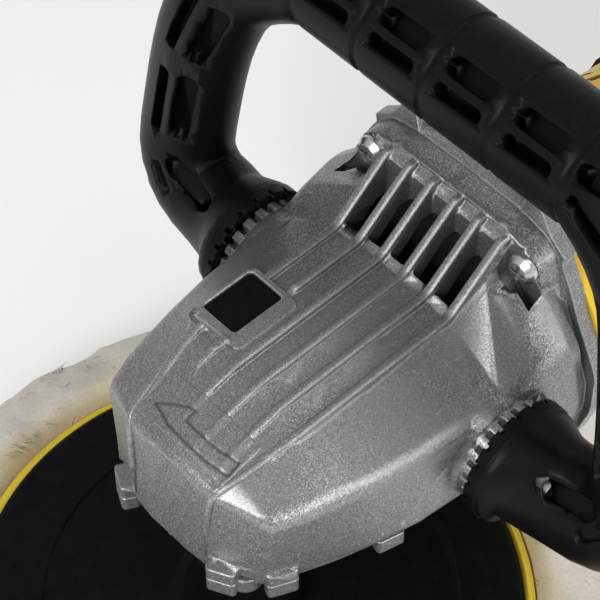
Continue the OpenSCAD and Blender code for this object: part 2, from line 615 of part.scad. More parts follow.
module handle_right() color([0.1, 0.1, 0.1]) intersection() {
    handle_shell();
    translate([0.02, 170, plate_top]) cube([60, 170, 130]);
}

module handle_screws() color([0.6, 0.6, 0.62]) for (p = handle_screw_at) across(16, p.x, p.y)
    pan_screw(1.8, 26, 3.5, 2.4);

// Side of the trigger, measured from its pin.
trigger_side = [[-4.5, 5], [-4.5, -4.5], [3, -17.3], [14, -20.1], [32, -18.9], [50, -19.9], [58, -18],
    [59, -11], [54, -5.5], [30, -3], [8, -1.5], [4, 5]];

module trigger() color([0.07, 0.07, 0.07]) translate([0, trigger_y, plate_top + trigger_h]) difference() {
    translate([-7, 0, 0]) rotate([90, 0, 90]) linear_extrude(14) polygon(soft(trigger_side, 3, 3));
    translate([-10, 0, 0]) rotate([0, 90, 0]) cylinder(r = 2 + run, h = 20);
    translate([-4.6, 7, -13.5]) cube([9.2, 34, 14]);
}

module trigger_pin() color([0.62, 0.62, 0.64]) across(-15, trigger_y, trigger_h) cylinder(r = 2, h = 30);

module trigger_spring() color([0.65, 0.65, 0.66]) at_pad()
    translate([0, trigger_y + 32, trigger_h - 13.45]) coil(3, 0.4, switch_h - trigger_h + 12.3, 6);

module switch() color([0.18, 0.18, 0.2]) difference() {
    union() {
        at_pad() translate([0, 245, switch_h]) slot_block(18, 46, 20, 1.5);
        at_pad() translate([0, 230, switch_h - 4.2]) slot_block(6, 10, 5, 1);
    }
    at_pad() translate([0, 246, switch_h - 1.4]) cylinder(r = 4, h = 2.6);
    for (i = [-1:1]) at_pad() translate([-6, 252 + i * 6, switch_h + 17.6]) cube([12, 2, 5]);
    across(-12, 238, switch_h + 11.6) cylinder(r = 4.2, h = 8.6);
}

module lock_on_button() color([0.07, 0.07, 0.07]) across(-24.6, 238, 78) {
    cylinder(r = 5, h = 11.4);
    translate([0, 0, 9.2]) cylinder(r = 6.4, h = 2.2);
    translate([0, 0, 11]) cylinder(r = 1.8, h = 4.4);
}

module lock_on_spring() color([0.65, 0.65, 0.66]) across(-10.55, 238, 78) coil(2.6, 0.35, 6.8, 5);

module speed_dial() color([0.09, 0.09, 0.09]) across(-3.9, dial_y, dial_h) difference() {
    cylinder(r = 12.5, h = 7.8);
    for (i = [0:23]) rotate(i * 15) translate([12.7, 0, -1]) cylinder(r = 0.8, h = 12, $fn = 16);
    translate([0, 0, -1]) cylinder(r = 2 + run, h = 12);
}

module speed_controller() color([0.16, 0.32, 0.2]) {
    translate([-6.2, dial_y - 18, plate_top + dial_h - 19.6]) cube([1.6, 28, 23.6]);
    across(-6, dial_y, dial_h) cylinder(r = 2, h = 11);
    translate([-4.7, dial_y - 17.6, plate_top + dial_h - 18.1]) cube([7, 4, 14]);
    translate([-4.7, dial_y - 4, plate_top + dial_h - 19.2]) cube([6, 11, 5.4]);
}

module at_gland(y) translate([0, y, plate_top + gland_h]) rotate([-90, 0, 0]) children();

module cord_gland() color([0.06, 0.06, 0.06]) difference() {
    union() {
        at_gland(306.5) cylinder(r = 8.5, h = 19.5);
        at_gland(tail_y + 2) cylinder(r1 = 11.5, r2 = 10, h = 5);
        at_gland(305) cylinder(r = 10.4, h = 3.6);
    }
    at_gland(300) cylinder(r = 4.2, h = 40);
}

module cord_clamp() color([0.12, 0.12, 0.12]) difference() {
    at_pad() translate([0, 296, gland_h - 9.6]) slot_block(24, 9, 5, 1.4);
    at_gland(280) cylinder(r = 5.6, h = 40);
    for (s = [-1, 1]) at_pad() translate([s * 8.6, 296, 50]) cylinder(r = 1.7, h = 20);
}

module clamp_screws() color([0.6, 0.6, 0.62]) for (s = [-1, 1]) at_pad() translate([s * 8.6, 296, 63.42])
    pan_screw(1.6, 14, 3, 2);

// ---- loop handle ----

// Half of the loop: sideways, upwards, backward offset, half thickness in its plane and across it.
grip_half = [for (x = [0, 26, 52]) each [
    if (x > 0) [x - 1.5, 18],
    [max(x - 0.9, 0), 17.1],
    [x + 0.9, 17.1],
    [x + 1.5, 18]]];
elbow_r = 18;
elbow_x = 80.6;
elbow_w = 16.2;
loop_half = concat(
    [for (g = grip_half) [g[0], loop_h, 0, g[1], g[1] + (g[1] < 18 ? 0.2 : 0)]],
    [[60, loop_h - 1.6, -0.6, 17.9, 17.8], [66.5, loop_h - 4.6, -1.4, 17.8, 17.5],
    [73.4, loop_h - 9.2, -2.4, 17.5, 17], [79.6, loop_h - 14.6, -3.4, 17.2, 16.4],
    [84.4, loop_h - 21, -4.2, 17, 15.7], [88, loop_h - 29, -4.7, 16.8, 15.1], [90.6, 69, -4.3, 16.8, 14.7],
    [92.7, 60, -3.2, 16.8, 14.5], [94.6, 50, -1.5, 16.8, 14.4], [96.1, 40, 0.3, 16.8, 14.4],
    [97.4, 30, 2.2, 16.8, 14.4], [98.3, 22, 3.6, 16.8, 14.4]],
    [for (a = [0:-15:-75]) [elbow_x + elbow_r * cos(a), elbow_w + elbow_r * sin(a), 4.4 - a / 90,
        16.8 - a / 120, 14.4 - a / 180]],
    [[78, -2, 4.9, 17.8, 15], [71, -2, 3.4, 18, 15.6], [66, -1, 1.6, 18.4, 17], [62.6, 0, 0.2, 20, 20],
    [61, 0, 0, 20.3, 20.3], [58.4, 0, 0, 20.3, 20.3]]);

function loop_dir(i) =
    let (n = len(loop_half), a = loop_half[max(i - 1, 0)], b = loop_half[min(i + 1, n - 1)],
         d = i < 11 ? [1, 0] : i > n - 4 ? [-1, 0] : [b.x - a.x, b.y - a.y])
    d / norm(d);

// A point of the loop's plane, with b pointing backwards out of it.
function in_plane(x, w, b) = [x, boss_y + w * sin(loop_lean) + b * cos(loop_lean),
    axis_z + w * cos(loop_lean) - b * sin(loop_lean)];

function loop_ring(i, s, k = 28) =
    let (p = loop_half[i], d = loop_dir(i))
    [for (j = [0:k - 1]) let (a = j * 360 / k, c = p[3] * cos(a))
        in_plane(s * (p.x - d.y * c), p.y + d.x * c, p[2] + p[4] * sin(a))];

module loop_solid() {
    n = len(loop_half);
    loft(concat([for (i = [n - 1:-1:0]) loop_ring(i, -1)], [for (i = [1:n - 1]) loop_ring(i, 1)]));
}

// Puts a shape drawn in the loop's plane, with +Z pointing out of its front face.
module in_loop(x, w) translate([0, boss_y, axis_z]) rotate([90 - loop_lean, 0, 0]) translate([x, w, 0])
    children();

// Pockets of the grip: place along it, angle from its top towards the front, length, width and floor.
grip_pockets = [[13, 52, 17.6, 6.4, 11.5], [39, 52, 17.6, 6.4, 11.5], [60.5, 60, 13, 6, 11.5],
    [13, 78, 17.6, 4.6, 12], [39, 78, 17.6, 4.6, 12]];

// Pockets of the arms: middle of the arm there, turn in the plane, tilt, angle from outside, length, width
// and floor.
arm_pockets = [[[87.2, 76, -4.4], 20.6, 5, 123, 27.4, 6.6, 10.6],
    [[95.7, 41, 0.2], 8.3, 10, 123, 30, 6.6, 10.4],
    [[88.6, 74.5, -4.2], 18, 5, 87, 28, 4.4, 10.4], [[96.4, 37.6, 0.8], 7.7, 10, 87, 31, 4.4, 10.2],
    [[64, 104, -1], -114, 0, 92, 19, 4.6, 12.5], [[84.6, 0.2, 4.7], -76, 0, 126, 22, 6.2, 12.1],
    [[94, 4.6, 4.8], -44, 0, 92, 12, 4.4, 12.8]];

module grip_pocket(s, p) in_loop(s * p[0], loop_h) rotate([-p[1], 0, 0]) rotate([-90, 0, 0])
    translate([0, 0, p[4]]) slot_block(p[2], p[3], 20, p[3] * 0.48);

module arm_pocket(s, p) in_loop(s * p[0].x, p[0].y) translate([0, 0, -p[0].z]) rotate([p[2], 0, s * p[1]])
    rotate([0, s * (90 - p[3]), 0]) translate([0, 0, p[6]]) slot_block(p[5], p[4], 20, p[5] * 0.48);

module loop_handle() color([0.09, 0.09, 0.09]) difference() {
    union() {
        loop_solid();
        at_pivots(flange_x) cylinder(r = 20.7, h = 4.4);
    }
    for (s = [-1, 1]) {
        for (p = grip_pockets) {
            grip_pocket(s, p);
            grip_pocket(s, [p[0], -p[1], p[2], p[3], p[4]]);
        }
        for (p = arm_pockets) arm_pocket(s, p);
    }
    at_pivots(50) cylinder(r = 4.3, h = 30);
    at_pivots(64) cylinder(r = 7.3, h = 60);
    for (i = [0:ring_teeth - 1]) at_pivots(flange_x - 0.1) rotate(i * 360 / ring_teeth) translate([7.5, 0, 0])
        rotate([45, 0, 0]) translate([0, -0.8, -0.8]) cube([10.5, 1.6, 1.6]);
    for (i = [0:ring_teeth - 1]) at_pivots(flange_x - 0.1) rotate(i * 360 / ring_teeth)
        translate([19.6, 0, 0])
        cylinder(r = 1.3, h = 1.9, $fn = 20);
    at_pivots(flange_x - 1) cylinder(r = 7.6, h = 1.8);
}

module loop_bolts() color([0.6, 0.6, 0.62]) at_pivots(0) difference() {
    union() {
        translate([0, 0, 34]) cylinder(r = 4, h = 33);
        translate([0, 0, 66.1]) cylinder(r = 6.4, h = 8);
    }
    translate([0, 0, 70]) cylinder(r = 3.4, h = 6, $fn = 6);
}

module loop_washers() color([0.6, 0.6, 0.62]) at_pivots(64.35) tube(7, 4.05, 1.7);

// ---- plate and pad ----

module backing_plate() color([0.05, 0.05, 0.05]) difference() {
    at_pad() rotate_extrude($fn = 128)
        polygon([[7.05, -6.6], [plate_r - 3, -6.6], [plate_r, -5], [plate_r, -1.4], [plate_r - 1.6, 0],
            [69, 0.4], [68.4, 1], [67.6, 1], [67, 0.4], [26, 1.6], [22, 3], [7.05, 3]]);
    at_pad() translate([0, 0, -10]) cylinder(r = 7 + 0.05, h = 20);
}

module plate_hub() color([0.07, 0.07, 0.07]) difference() {
    union() {
        at_pad() translate([0, 0, 3]) cylinder(r = 17, h = 30);
        at_pad() translate([0, 0, 33]) cylinder(r1 = 17, r2 = 15, h = 1.4);
    }
    at_pad() translate([0, 0, 1]) cylinder(r = 7 + 0.02, h = 50);
    for (s = [-1, 1]) at_pad() translate([s * 18 - 2, -9, 24]) cube([4, 18, 8]);
}

module hook_disc() color([0.2, 0.2, 0.2]) at_pad() translate([0, 0, -8.4]) tube(plate_r - 2, 12, 1.8);

module pad_backing() color([0.86, 0.7, 0.12]) at_pad() rotate_extrude($fn = 128)
    polygon([[12, -11.4], [plate_r + 3, -11.4], [plate_r + 4.4, -9], [plate_r + 4, -4.6],
        [plate_r + 1.8, -3.4], [plate_r + 0.5, -4.4], [plate_r + 0.5, -8.4], [12, -8.4]]);

module wool_pad() color([0.93, 0.91, 0.84]) at_pad() rotate_extrude($fn = 128)
    polygon(concat([[0, -11.42], [0, -plate_top]], soft_corner([0, -plate_top], [wool_r - 2, -plate_top],
        [wool_r, -12], 13, 6), soft_corner([wool_r - 1, -plate_top], [wool_r, 2.6], [100, 2.6], 12, 8),
        soft_corner([wool_r, 2.6], [plate_r + 7, 2.6], [plate_r + 4.6, -4], 4, 4),
        [[plate_r + 4.45, -6], [plate_r + 4.42, -9], [plate_r + 3.01, -11.42]]));

gear_housing();
bearing_cover();
cover_screws();
housing_screws();
lock_button();
lock_pin();
lock_spring();
spindle();
ring_gear();
pinion();
upper_bearing();
lower_bearing();
dust_seal();
circlip();
motor_housing();
armature_shaft();
armature_core();
commutator();
fan();
fan_baffle();
front_bearing();
rear_bearing();
bearing_sleeve();
stator_core();
field_coils();
brush_holders();
carbon_brushes();
brush_springs();
brush_caps();
handle_left();
handle_right();
handle_screws();
trigger();
trigger_pin();
trigger_spring();
switch();
lock_on_button();
lock_on_spring();
speed_dial();
speed_controller();
cord_gland();
cord_clamp();
clamp_screws();
loop_handle();
loop_bolts();
loop_washers();
backing_plate();
plate_hub();
hook_disc();
pad_backing();
wool_pad();
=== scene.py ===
# %% [markdown]
# # Rotary polisher
#
# The solids come from the CAD model, already in place and in metres. The spindle is the Z axis, the wool's working
# face is z = 0 and the motor points to +Y. This script gives every solid its material, replaces the plain pad by a
# wool one, and adds the small details that a solid model leaves out.
#
# All lengths are in metres. Measures that are usual in millimetres are written with the unit mm below.

# %% Loading the solids
import math
import bmesh
import bpy
import numpy as np
from mathutils import Matrix, Vector
from mathutils.bvhtree import BVHTree


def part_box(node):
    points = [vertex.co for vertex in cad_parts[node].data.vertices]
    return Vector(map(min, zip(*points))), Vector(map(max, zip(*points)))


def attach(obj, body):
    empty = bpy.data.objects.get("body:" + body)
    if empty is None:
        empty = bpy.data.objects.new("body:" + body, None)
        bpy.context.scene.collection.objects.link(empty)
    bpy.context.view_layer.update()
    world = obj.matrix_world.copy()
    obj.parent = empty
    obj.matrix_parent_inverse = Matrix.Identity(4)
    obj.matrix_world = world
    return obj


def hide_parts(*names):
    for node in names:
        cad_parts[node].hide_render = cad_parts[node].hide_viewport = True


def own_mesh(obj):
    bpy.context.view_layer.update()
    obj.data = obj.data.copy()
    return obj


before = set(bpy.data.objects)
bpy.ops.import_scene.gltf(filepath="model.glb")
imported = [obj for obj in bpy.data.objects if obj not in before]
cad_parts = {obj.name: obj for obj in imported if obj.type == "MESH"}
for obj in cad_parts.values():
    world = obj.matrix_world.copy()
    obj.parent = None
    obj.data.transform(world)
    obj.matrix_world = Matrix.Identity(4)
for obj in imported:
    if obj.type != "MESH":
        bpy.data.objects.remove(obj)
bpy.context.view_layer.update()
rng = np.random.default_rng(7)
mm = 0.001
plate_top = float(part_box("plate_hub")[0][2]) - 0.003

# %% [markdown]
# ## Camera
#
# The camera looks down at the gear head from the front right. Its frame is built from an azimuth, an elevation and a
# small roll. The point that it is aimed by is the middle of the backing plate's upper face, which lies low in the
# frame, so the offset of that point from the frame's centre is written in lens units.

# %% Placing the camera
def camera_axes(azimuth, elevation, roll):
    """Right, up and backward unit vectors. Backward is the sphere direction of the two angles; right is level;
    up is their cross product; the roll then turns right and up about backward."""
    az, el, ro = np.radians([azimuth, elevation, roll])
    back = np.array([np.sin(az) * np.cos(el), -np.cos(az) * np.cos(el), np.sin(el)])
    right = np.array([np.cos(az), np.sin(az), 0.0])
    up = np.cross(back, right)
    return np.cos(ro) * right + np.sin(ro) * up, np.cos(ro) * up - np.sin(ro) * right, back

def pose(right, up, back, place):
    """The matrix that turns an object's own axes to three unit vectors and moves its origin to a place."""
    matrix = np.eye(4)
    matrix[:3] = np.stack([right, up, back, place], 1)
    return Matrix(matrix.tolist())

focal, sensor, depth = 144.0, 36.0, 0.78419
right, up, back = camera_axes(47.03, 52.05, -0.2)
aim = np.array([0.0, 0.0, plate_top])
offset = depth * (sensor / focal) * np.array([-0.08438, -0.49003])
eye = aim - offset[0] * right - offset[1] * up + depth * back

cam_data = bpy.data.cameras.new("camera")
cam_data.lens, cam_data.sensor_width = focal, sensor
cam_data.clip_start, cam_data.clip_end = 0.05, 20.0
camera = bpy.data.objects.new("camera", cam_data)
camera.matrix_world = pose(right, up, back, eye)
bpy.context.scene.collection.objects.link(camera)
bpy.context.scene.camera = camera
print("camera at", [round(float(v), 4) for v in eye])

# %% [markdown]
# ## Shared shading effects
#
# Each effect is one node group that only gives out a mask, a colour or a normal. The materials that use them keep
# their own shader.

# %% Node groups
def group(name, inputs, outputs):
    """An empty node group with the named sockets."""
    tree = bpy.data.node_groups.new(name, "ShaderNodeTree")
    kinds = {"f": "NodeSocketFloat", "c": "NodeSocketColor", "v": "NodeSocketVector"}
    for label, kind, value in inputs:
        socket = tree.interface.new_socket(name=label, in_out="INPUT", socket_type=kinds[kind])
        if value is not None:
            socket.default_value = value
    for label, kind in outputs:
        tree.interface.new_socket(name=label, in_out="OUTPUT", socket_type=kinds[kind])
    return tree, tree.nodes.new("NodeGroupInput"), tree.nodes.new("NodeGroupOutput")

def add(tree, kind, settings=None, **inputs):
    """A node with its properties and its input values or links set. Input names use _ for a space, and i0, i1 and so
    on mean an input by its number."""
    node = tree.nodes.new(kind)
    for key, value in (settings or {}).items():
        setattr(node, key, value)
    for key, value in inputs.items():
        by_number = key[0] == "i" and key[1:].isdigit()
        socket = node.inputs[int(key[1:]) if by_number else key.replace("_", " ")]
        if isinstance(value, bpy.types.NodeSocket):
            tree.links.new(value, socket)
        else:
            socket.default_value = value
    return node

def maths(tree, operation, a, b):
    """One arithmetic step; a and b are numbers or sockets."""
    return add(tree, "ShaderNodeMath", {"operation": operation}, i0=a, i1=b).outputs[0]

def ramp(tree, value, stops):
    """A colour ramp; stops are (position, grey or colour)."""
    node = add(tree, "ShaderNodeValToRGB", None, Fac=value)
    while len(node.color_ramp.elements) < len(stops):
        node.color_ramp.elements.new(0.5)
    for element, (position, colour) in zip(node.color_ramp.elements, stops):
        element.position = position
        element.color = (colour, colour, colour, 1) if isinstance(colour, (int, float)) else (*colour, 1)
    return node.outputs["Color"]

def grain_group():
    """Moulded or cast surface: two sizes of noise added into one height, turned into a normal that starts from the
    softened edges' normal."""
    tree, gin, gout = group("surface_grain", [("Scale", "f", 900.0), ("Strength", "f", 0.2), ("Depth", "f", 0.0002),
                                              ("Rounding", "f", 0.0005)], [("Normal", "v"), ("Height", "f")])
    where = add(tree, "ShaderNodeTexCoord").outputs["Object"]
    fine = add(tree, "ShaderNodeTexNoise", None, Vector=where, Scale=gin.outputs["Scale"], Detail=3.0, Roughness=0.6)
    large = add(tree, "ShaderNodeTexNoise", None, Vector=where,
                Scale=maths(tree, "MULTIPLY", gin.outputs["Scale"], 0.21), Detail=2.0, Roughness=0.5)
    height = maths(tree, "ADD", fine.outputs["Fac"], maths(tree, "MULTIPLY", large.outputs["Fac"], 0.7))
    soft = add(tree, "ShaderNodeBevel", {"samples": 4}, Radius=gin.outputs["Rounding"])
    bump = add(tree, "ShaderNodeBump", None, Strength=gin.outputs["Strength"], Distance=gin.outputs["Depth"],
               Height=height, Normal=soft.outputs["Normal"])
    tree.links.new(bump.outputs["Normal"], gout.inputs["Normal"])
    tree.links.new(height, gout.inputs["Height"])
    return tree

def flake_group():
    """Metal flakes in paint: small random cells, each with its own brightness and its own tilt away from the
    surface's normal."""
    tree, gin, gout = group("metal_flakes", [("Scale", "f", 2200.0), ("Tilt", "f", 0.35), ("Normal", "v", None)],
                            [("Tone", "f"), ("Normal", "v")])
    where = add(tree, "ShaderNodeTexCoord").outputs["Object"]
    cells = add(tree, "ShaderNodeTexVoronoi", {"feature": "F1"}, Vector=where, Scale=gin.outputs["Scale"])
    shade = add(tree, "ShaderNodeSeparateColor", None, Color=cells.outputs["Color"])
    way = add(tree, "ShaderNodeVectorMath", {"operation": "SUBTRACT"}, i0=cells.outputs["Color"], i1=(0.5, 0.5, 0.5))
    sized = add(tree, "ShaderNodeVectorMath", {"operation": "SCALE"}, i0=way.outputs[0], Scale=gin.outputs["Tilt"])
    tilted = add(tree, "ShaderNodeVectorMath", {"operation": "ADD"}, i0=gin.outputs["Normal"], i1=sized.outputs[0])
    unit = add(tree, "ShaderNodeVectorMath", {"operation": "NORMALIZE"}, i0=tilted.outputs[0])
    tree.links.new(shade.outputs[1], gout.inputs["Tone"])
    tree.links.new(unit.outputs[0], gout.inputs["Normal"])
    return tree

def edge_group():
    """Edge mask: how far the softened edges' normal leans from the face's own normal, broken up by noise. It lightens
    colour, partly as wear and partly as a painted highlight.
    """
    tree, gin, gout = group("edge_wear_and_painted_highlight", [("Width", "f", 0.0008), ("Scale", "f", 300.0)], [("Edge", "f")])
    where = add(tree, "ShaderNodeTexCoord").outputs["Object"]
    noise = add(tree, "ShaderNodeTexNoise", None, Vector=where, Scale=gin.outputs["Scale"], Detail=3.0)
    soft = add(tree, "ShaderNodeBevel", {"samples": 4}, Radius=gin.outputs["Width"])
    face = add(tree, "ShaderNodeNewGeometry").outputs["Normal"]
    match = add(tree, "ShaderNodeVectorMath", {"operation": "DOT_PRODUCT"}, i0=soft.outputs[0], i1=face)
    edge = add(tree, "ShaderNodeMapRange", None, Value=match.outputs["Value"], From_Min=0.995, From_Max=0.93)
    tree.links.new(maths(tree, "MULTIPLY", edge.outputs[0], noise.outputs["Fac"]), gout.inputs["Edge"])
    return tree

def painted_shade_group():
    """Painted shade in hollows: how open the spot is to its surroundings within a few millimetres, 0 in a crack and 1
    in the open, turned into a factor from Darkest to 1 that darkens colour in cracks and hollows.
    """
    tree, gin, gout = group("painted_hollow_shade", [("Reach", "f", 0.003), ("Darkest", "f", 0.4)], [("Open", "c")])
    near = add(tree, "ShaderNodeAmbientOcclusion", {"samples": 6, "only_local": True}, Distance=gin.outputs["Reach"])
    level = add(tree, "ShaderNodeMapRange", None, Value=near.outputs["AO"], From_Min=0.2, From_Max=0.85,
                To_Min=gin.outputs["Darkest"], To_Max=1.0)
    tree.links.new(level.outputs[0], gout.inputs["Open"])
    return tree

grain, flakes, edge_wear_and_highlight, painted_hollow_shade = grain_group(), flake_group(), edge_group(), painted_shade_group()
print("groups", [g.name for g in bpy.data.node_groups])

# %% [markdown]
# ## Materials
#
# The gear head is die cast and sprayed with a silver paint that carries metal flakes, so its grey is made of many
# small grains that each face their own way. The handles, the motor housing, the button and the backing plate are
# moulded: one even colour with a fine grain. Screws, shafts and springs are bare or plated metal. Three recipes
# therefore cover nearly every piece, and the values given to them tell the pieces apart.

# %% Recipes and finishes
def material(name, **settings):
    """A node material; the settings go on the main shader's own sockets."""
    mat = bpy.data.materials.new(name)
    mat.use_nodes = True
    shader = mat.node_tree.nodes["Principled BSDF"]
    for key, value in settings.items():
        shader.inputs[key.replace("_", " ")].default_value = value
    return mat, mat.node_tree, shader

def use(tree, which, **inputs):
    """A use of one of the shared groups."""
    node = add(tree, "ShaderNodeGroup", {"node_tree": which})
    for key, value in inputs.items():
        node.inputs[key].default_value = value
    return node

def mix(tree, factor, a, b, blend="MIX"):
    """Two colours mixed by a factor. A colour mix node keeps its factor at input 0 and its colours at 6 and 7."""
    node = add(tree, "ShaderNodeMix", {"data_type": "RGBA", "blend_type": blend})
    for index, value in ((0, factor), (6, a), (7, b)):
        if isinstance(value, bpy.types.NodeSocket):
            tree.links.new(value, node.inputs[index])
        else:
            node.inputs[index].default_value = value if index == 0 else (*value, 1)
    return node.outputs[2]

def cast_paint():
    """Silver paint on a die casting: grey metal flakes of many tones under a rough, slightly pitted coat. Its colour
    is lighter at edges and crests, partly wear and partly a painted highlight, darker in hollows as painted shade, and
    darker still along the arrow's groove, a painted shade that the mesh carries as a point value."""
    mat, tree, shader = material("silver_paint", Metallic=0.72, Roughness=0.36)
    coarse = use(tree, grain, Scale=2600.0, Strength=0.16, Depth=0.00006, Rounding=0.0009)
    flake = use(tree, flakes, Scale=3400.0, Tilt=0.19)
    tree.links.new(coarse.outputs["Normal"], flake.inputs["Normal"])
    tones = ramp(tree, flake.outputs["Tone"], [(0.0, 0.14), (0.5, 0.22), (0.9, 0.31), (1.0, 0.46)])
    # Edges and crests are lightened towards a pale grey: partly wear, partly a painted highlight.
    corner = use(tree, edge_wear_and_highlight, Width=0.0008, Scale=300.0)
    worn_and_highlit = mix(tree, corner.outputs["Edge"], tones, (0.88, 0.88, 0.89))
    # Painted shade: the colour is darkened where the surface lies in a hollow or crack.
    hollow_shade = use(tree, painted_hollow_shade, Reach=0.0035, Darkest=0.34)
    # Painted shade along the arrow's groove: the colour goes towards a dark grey by a point value of the mesh.
    groove_shade_mask = add(tree, "ShaderNodeAttribute", {"attribute_name": "painted_groove_shade"}).outputs["Fac"]
    shaded = mix(tree, 1.0, worn_and_highlit, hollow_shade.outputs["Open"], "MULTIPLY")
    tree.links.new(mix(tree, groove_shade_mask, shaded, (0.05, 0.05, 0.052)), shader.inputs["Base Color"])
    tree.links.new(flake.outputs["Normal"], shader.inputs["Normal"])
    return mat

def moulded(name, colour, roughness, scale=1500.0, strength=0.25, speckle=0.25, shine=0.5, rounding=0.0006):
    """Moulded plastic or rubber: nearly even colour, fine grain, edges a little lighter as wear and painted highlight,
    and painted shade in hollows.
    """
    mat, tree, shader = material(name, Roughness=roughness, Specular_IOR_Level=shine)
    coarse = use(tree, grain, Scale=scale, Strength=strength, Depth=0.00012, Rounding=rounding)
    light = tuple(min(1.0, c * 2.0 + 0.008) for c in colour)
    tone = ramp(tree, coarse.outputs["Height"], [(0.55, 0.0), (1.0, speckle)])
    base = mix(tree, tone, colour, light)
    # Edges are lightened a little: partly wear, partly a painted highlight.
    corner = use(tree, edge_wear_and_highlight, Width=rounding, Scale=500.0)
    edge = mix(tree, maths(tree, "MULTIPLY", corner.outputs["Edge"], 0.3), base, light)
    # Painted shade: the colour is darkened strongly in pockets and hollows.
    hollow_shade = use(tree, painted_hollow_shade, Reach=0.008, Darkest=0.1)
    tree.links.new(mix(tree, 1.0, edge, hollow_shade.outputs["Open"], "MULTIPLY"), shader.inputs["Base Color"])
    tree.links.new(coarse.outputs["Normal"], shader.inputs["Normal"])
    return mat

def metal(name, colour, roughness, scale=700.0):
    """Machined or plated metal with a faint grain that also varies its tone."""
    mat, tree, shader = material(name, Metallic=1.0, Roughness=roughness)
    coarse = use(tree, grain, Scale=scale, Strength=0.12, Depth=0.0001, Rounding=0.0003)
    tone = ramp(tree, coarse.outputs["Height"], [(0.4, 0.0), (1.2, 1.0)])
    base = mix(tree, tone, tuple(c * 0.7 for c in colour), colour)
    tree.links.new(base, shader.inputs["Base Color"])
    tree.links.new(coarse.outputs["Normal"], shader.inputs["Normal"])
    return mat

silver = cast_paint()
black = moulded("black_plastic", (0.0018, 0.0018, 0.002), 0.38, shine=0.1, rounding=0.0008)
button_black = moulded("button_plastic", (0.002, 0.002, 0.0022), 0.5, strength=0.12, shine=0.06)
rubber = moulded("black_rubber", (0.006, 0.006, 0.006), 0.62, shine=0.2)
plate_black = moulded("plate_black", (0.002, 0.002, 0.002), 0.42, scale=900.0, strength=0.1, shine=0.06)
yellow = moulded("yellow_plastic", (0.72, 0.44, 0.008), 0.36, strength=0.12, speckle=0.05)
fan_grey = moulded("fan_plastic", (0.02, 0.025, 0.023), 0.4, shine=0.3)
baffle_grey = moulded("baffle_plastic", (0.05, 0.065, 0.06), 0.4, shine=0.3)
felt = moulded("yellow_felt", (0.68, 0.48, 0.03), 0.9, scale=1800.0, strength=0.8, speckle=0.1)
zinc = metal("zinc_plate", (0.66, 0.67, 0.69), 0.28)
steel = metal("turned_steel", (0.55, 0.55, 0.56), 0.3)
dark_steel = metal("dark_steel", (0.22, 0.22, 0.23), 0.4)
copper = metal("copper", (0.7, 0.33, 0.16), 0.35)
brass = metal("brass", (0.75, 0.58, 0.25), 0.32)
lacquer = moulded("lacquered_steel", (0.09, 0.05, 0.04), 0.4)
board = moulded("green_board", (0.02, 0.12, 0.05), 0.4)

finishes = {
    silver: ["gear_housing", "bearing_cover"],
    black: ["loop_handle", "handle_left", "handle_right", "trigger", "lock_on_button", "speed_dial", "brush_caps",
            "plate_hub", "cord_clamp", "switch", "hook_disc"],
    button_black: ["lock_button"],
    rubber: ["dust_seal", "bearing_sleeve", "cord_gland", "carbon_brushes"],
    plate_black: ["backing_plate"],
    yellow: ["motor_housing"],
    felt: ["pad_backing"],
    fan_grey: ["fan"],
    baffle_grey: ["fan_baffle"],
    zinc: ["housing_screws", "cover_screws", "handle_screws", "clamp_screws", "loop_bolts", "loop_washers"],
    steel: ["spindle", "lock_pin", "upper_bearing", "lower_bearing", "front_bearing", "rear_bearing", "armature_shaft",
            "trigger_pin", "lock_spring", "trigger_spring", "lock_on_spring", "brush_springs"],
    dark_steel: ["ring_gear", "pinion", "circlip"],
    copper: ["commutator", "field_coils"],
    brass: ["brush_holders"],
    lacquer: ["armature_core", "stator_core"],
    board: ["speed_controller"],
}
for mat, nodes in finishes.items():
    for node in nodes:
        for slot in bpy.data.objects[node].material_slots:
            slot.material = mat
print("materials", len(finishes), "nodes dressed", sum(len(n) for n in finishes.values()))

# %% [markdown]
# ## Smooth castings and mouldings
#
# The gear head, the loop handle and the two handle halves are swept and lofted forms. A solid model of such a form is
# cut into flat facets, which catch the light one by one, while the real casting runs smoothly from one curve into the
# next. Each of these nodes is therefore stood for by a welded copy of itself. The copy keeps every point where it
# was. Its normals are averaged over all edges that bend by less than a chosen angle, so only the real edges stay
# sharp.

# %% Welded copies with soft facets
def smooth_copy(node, name, bend):
    """The node's triangles with doubled points merged, smooth where neighbours bend by less than bend degrees."""
    mesh = bpy.data.objects[node].data.copy()
    mesh.name = name
    work = bmesh.new()
    work.from_mesh(mesh)
    bmesh.ops.remove_doubles(work, verts=work.verts, dist=1e-6)
    bmesh.ops.dissolve_degenerate(work, edges=work.edges, dist=1e-6)
    work.to_mesh(mesh)
    work.free()
    mesh.polygons.foreach_set("use_smooth", np.ones(len(mesh.polygons), bool))
    mesh.set_sharp_from_angle(angle=math.radians(bend))
    piece = bpy.data.objects.new(name, mesh)
    bpy.context.scene.collection.objects.link(piece)
    piece.modifiers.new("even_normals", "WEIGHTED_NORMAL").keep_sharp = True
    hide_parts(node)
    return piece

for node, name, body, bend in (("gear_housing", "gear_head_casting", "housing", 26),
                               ("loop_handle", "loop_grip", "loop_handle", 24),
                               ("handle_left", "handle_shell_left", "housing", 26),
                               ("handle_right", "handle_shell_right", "housing", 26)):
    piece = smooth_copy(node, name, bend)
    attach(piece, body)
    print(name, len(piece.data.polygons), "faces")

# %% [markdown]
# ## Coil springs
#
# Three small coil springs push the spindle lock, the trigger and the lock-on button back out. A wound spring shortens
# when its button is pressed, by as much as the button travels. Each is stood for by a welded copy of itself, smooth
# where neighbours bend by less than 40 degrees, that rides with the housing. Length and stroke are in millimetres.

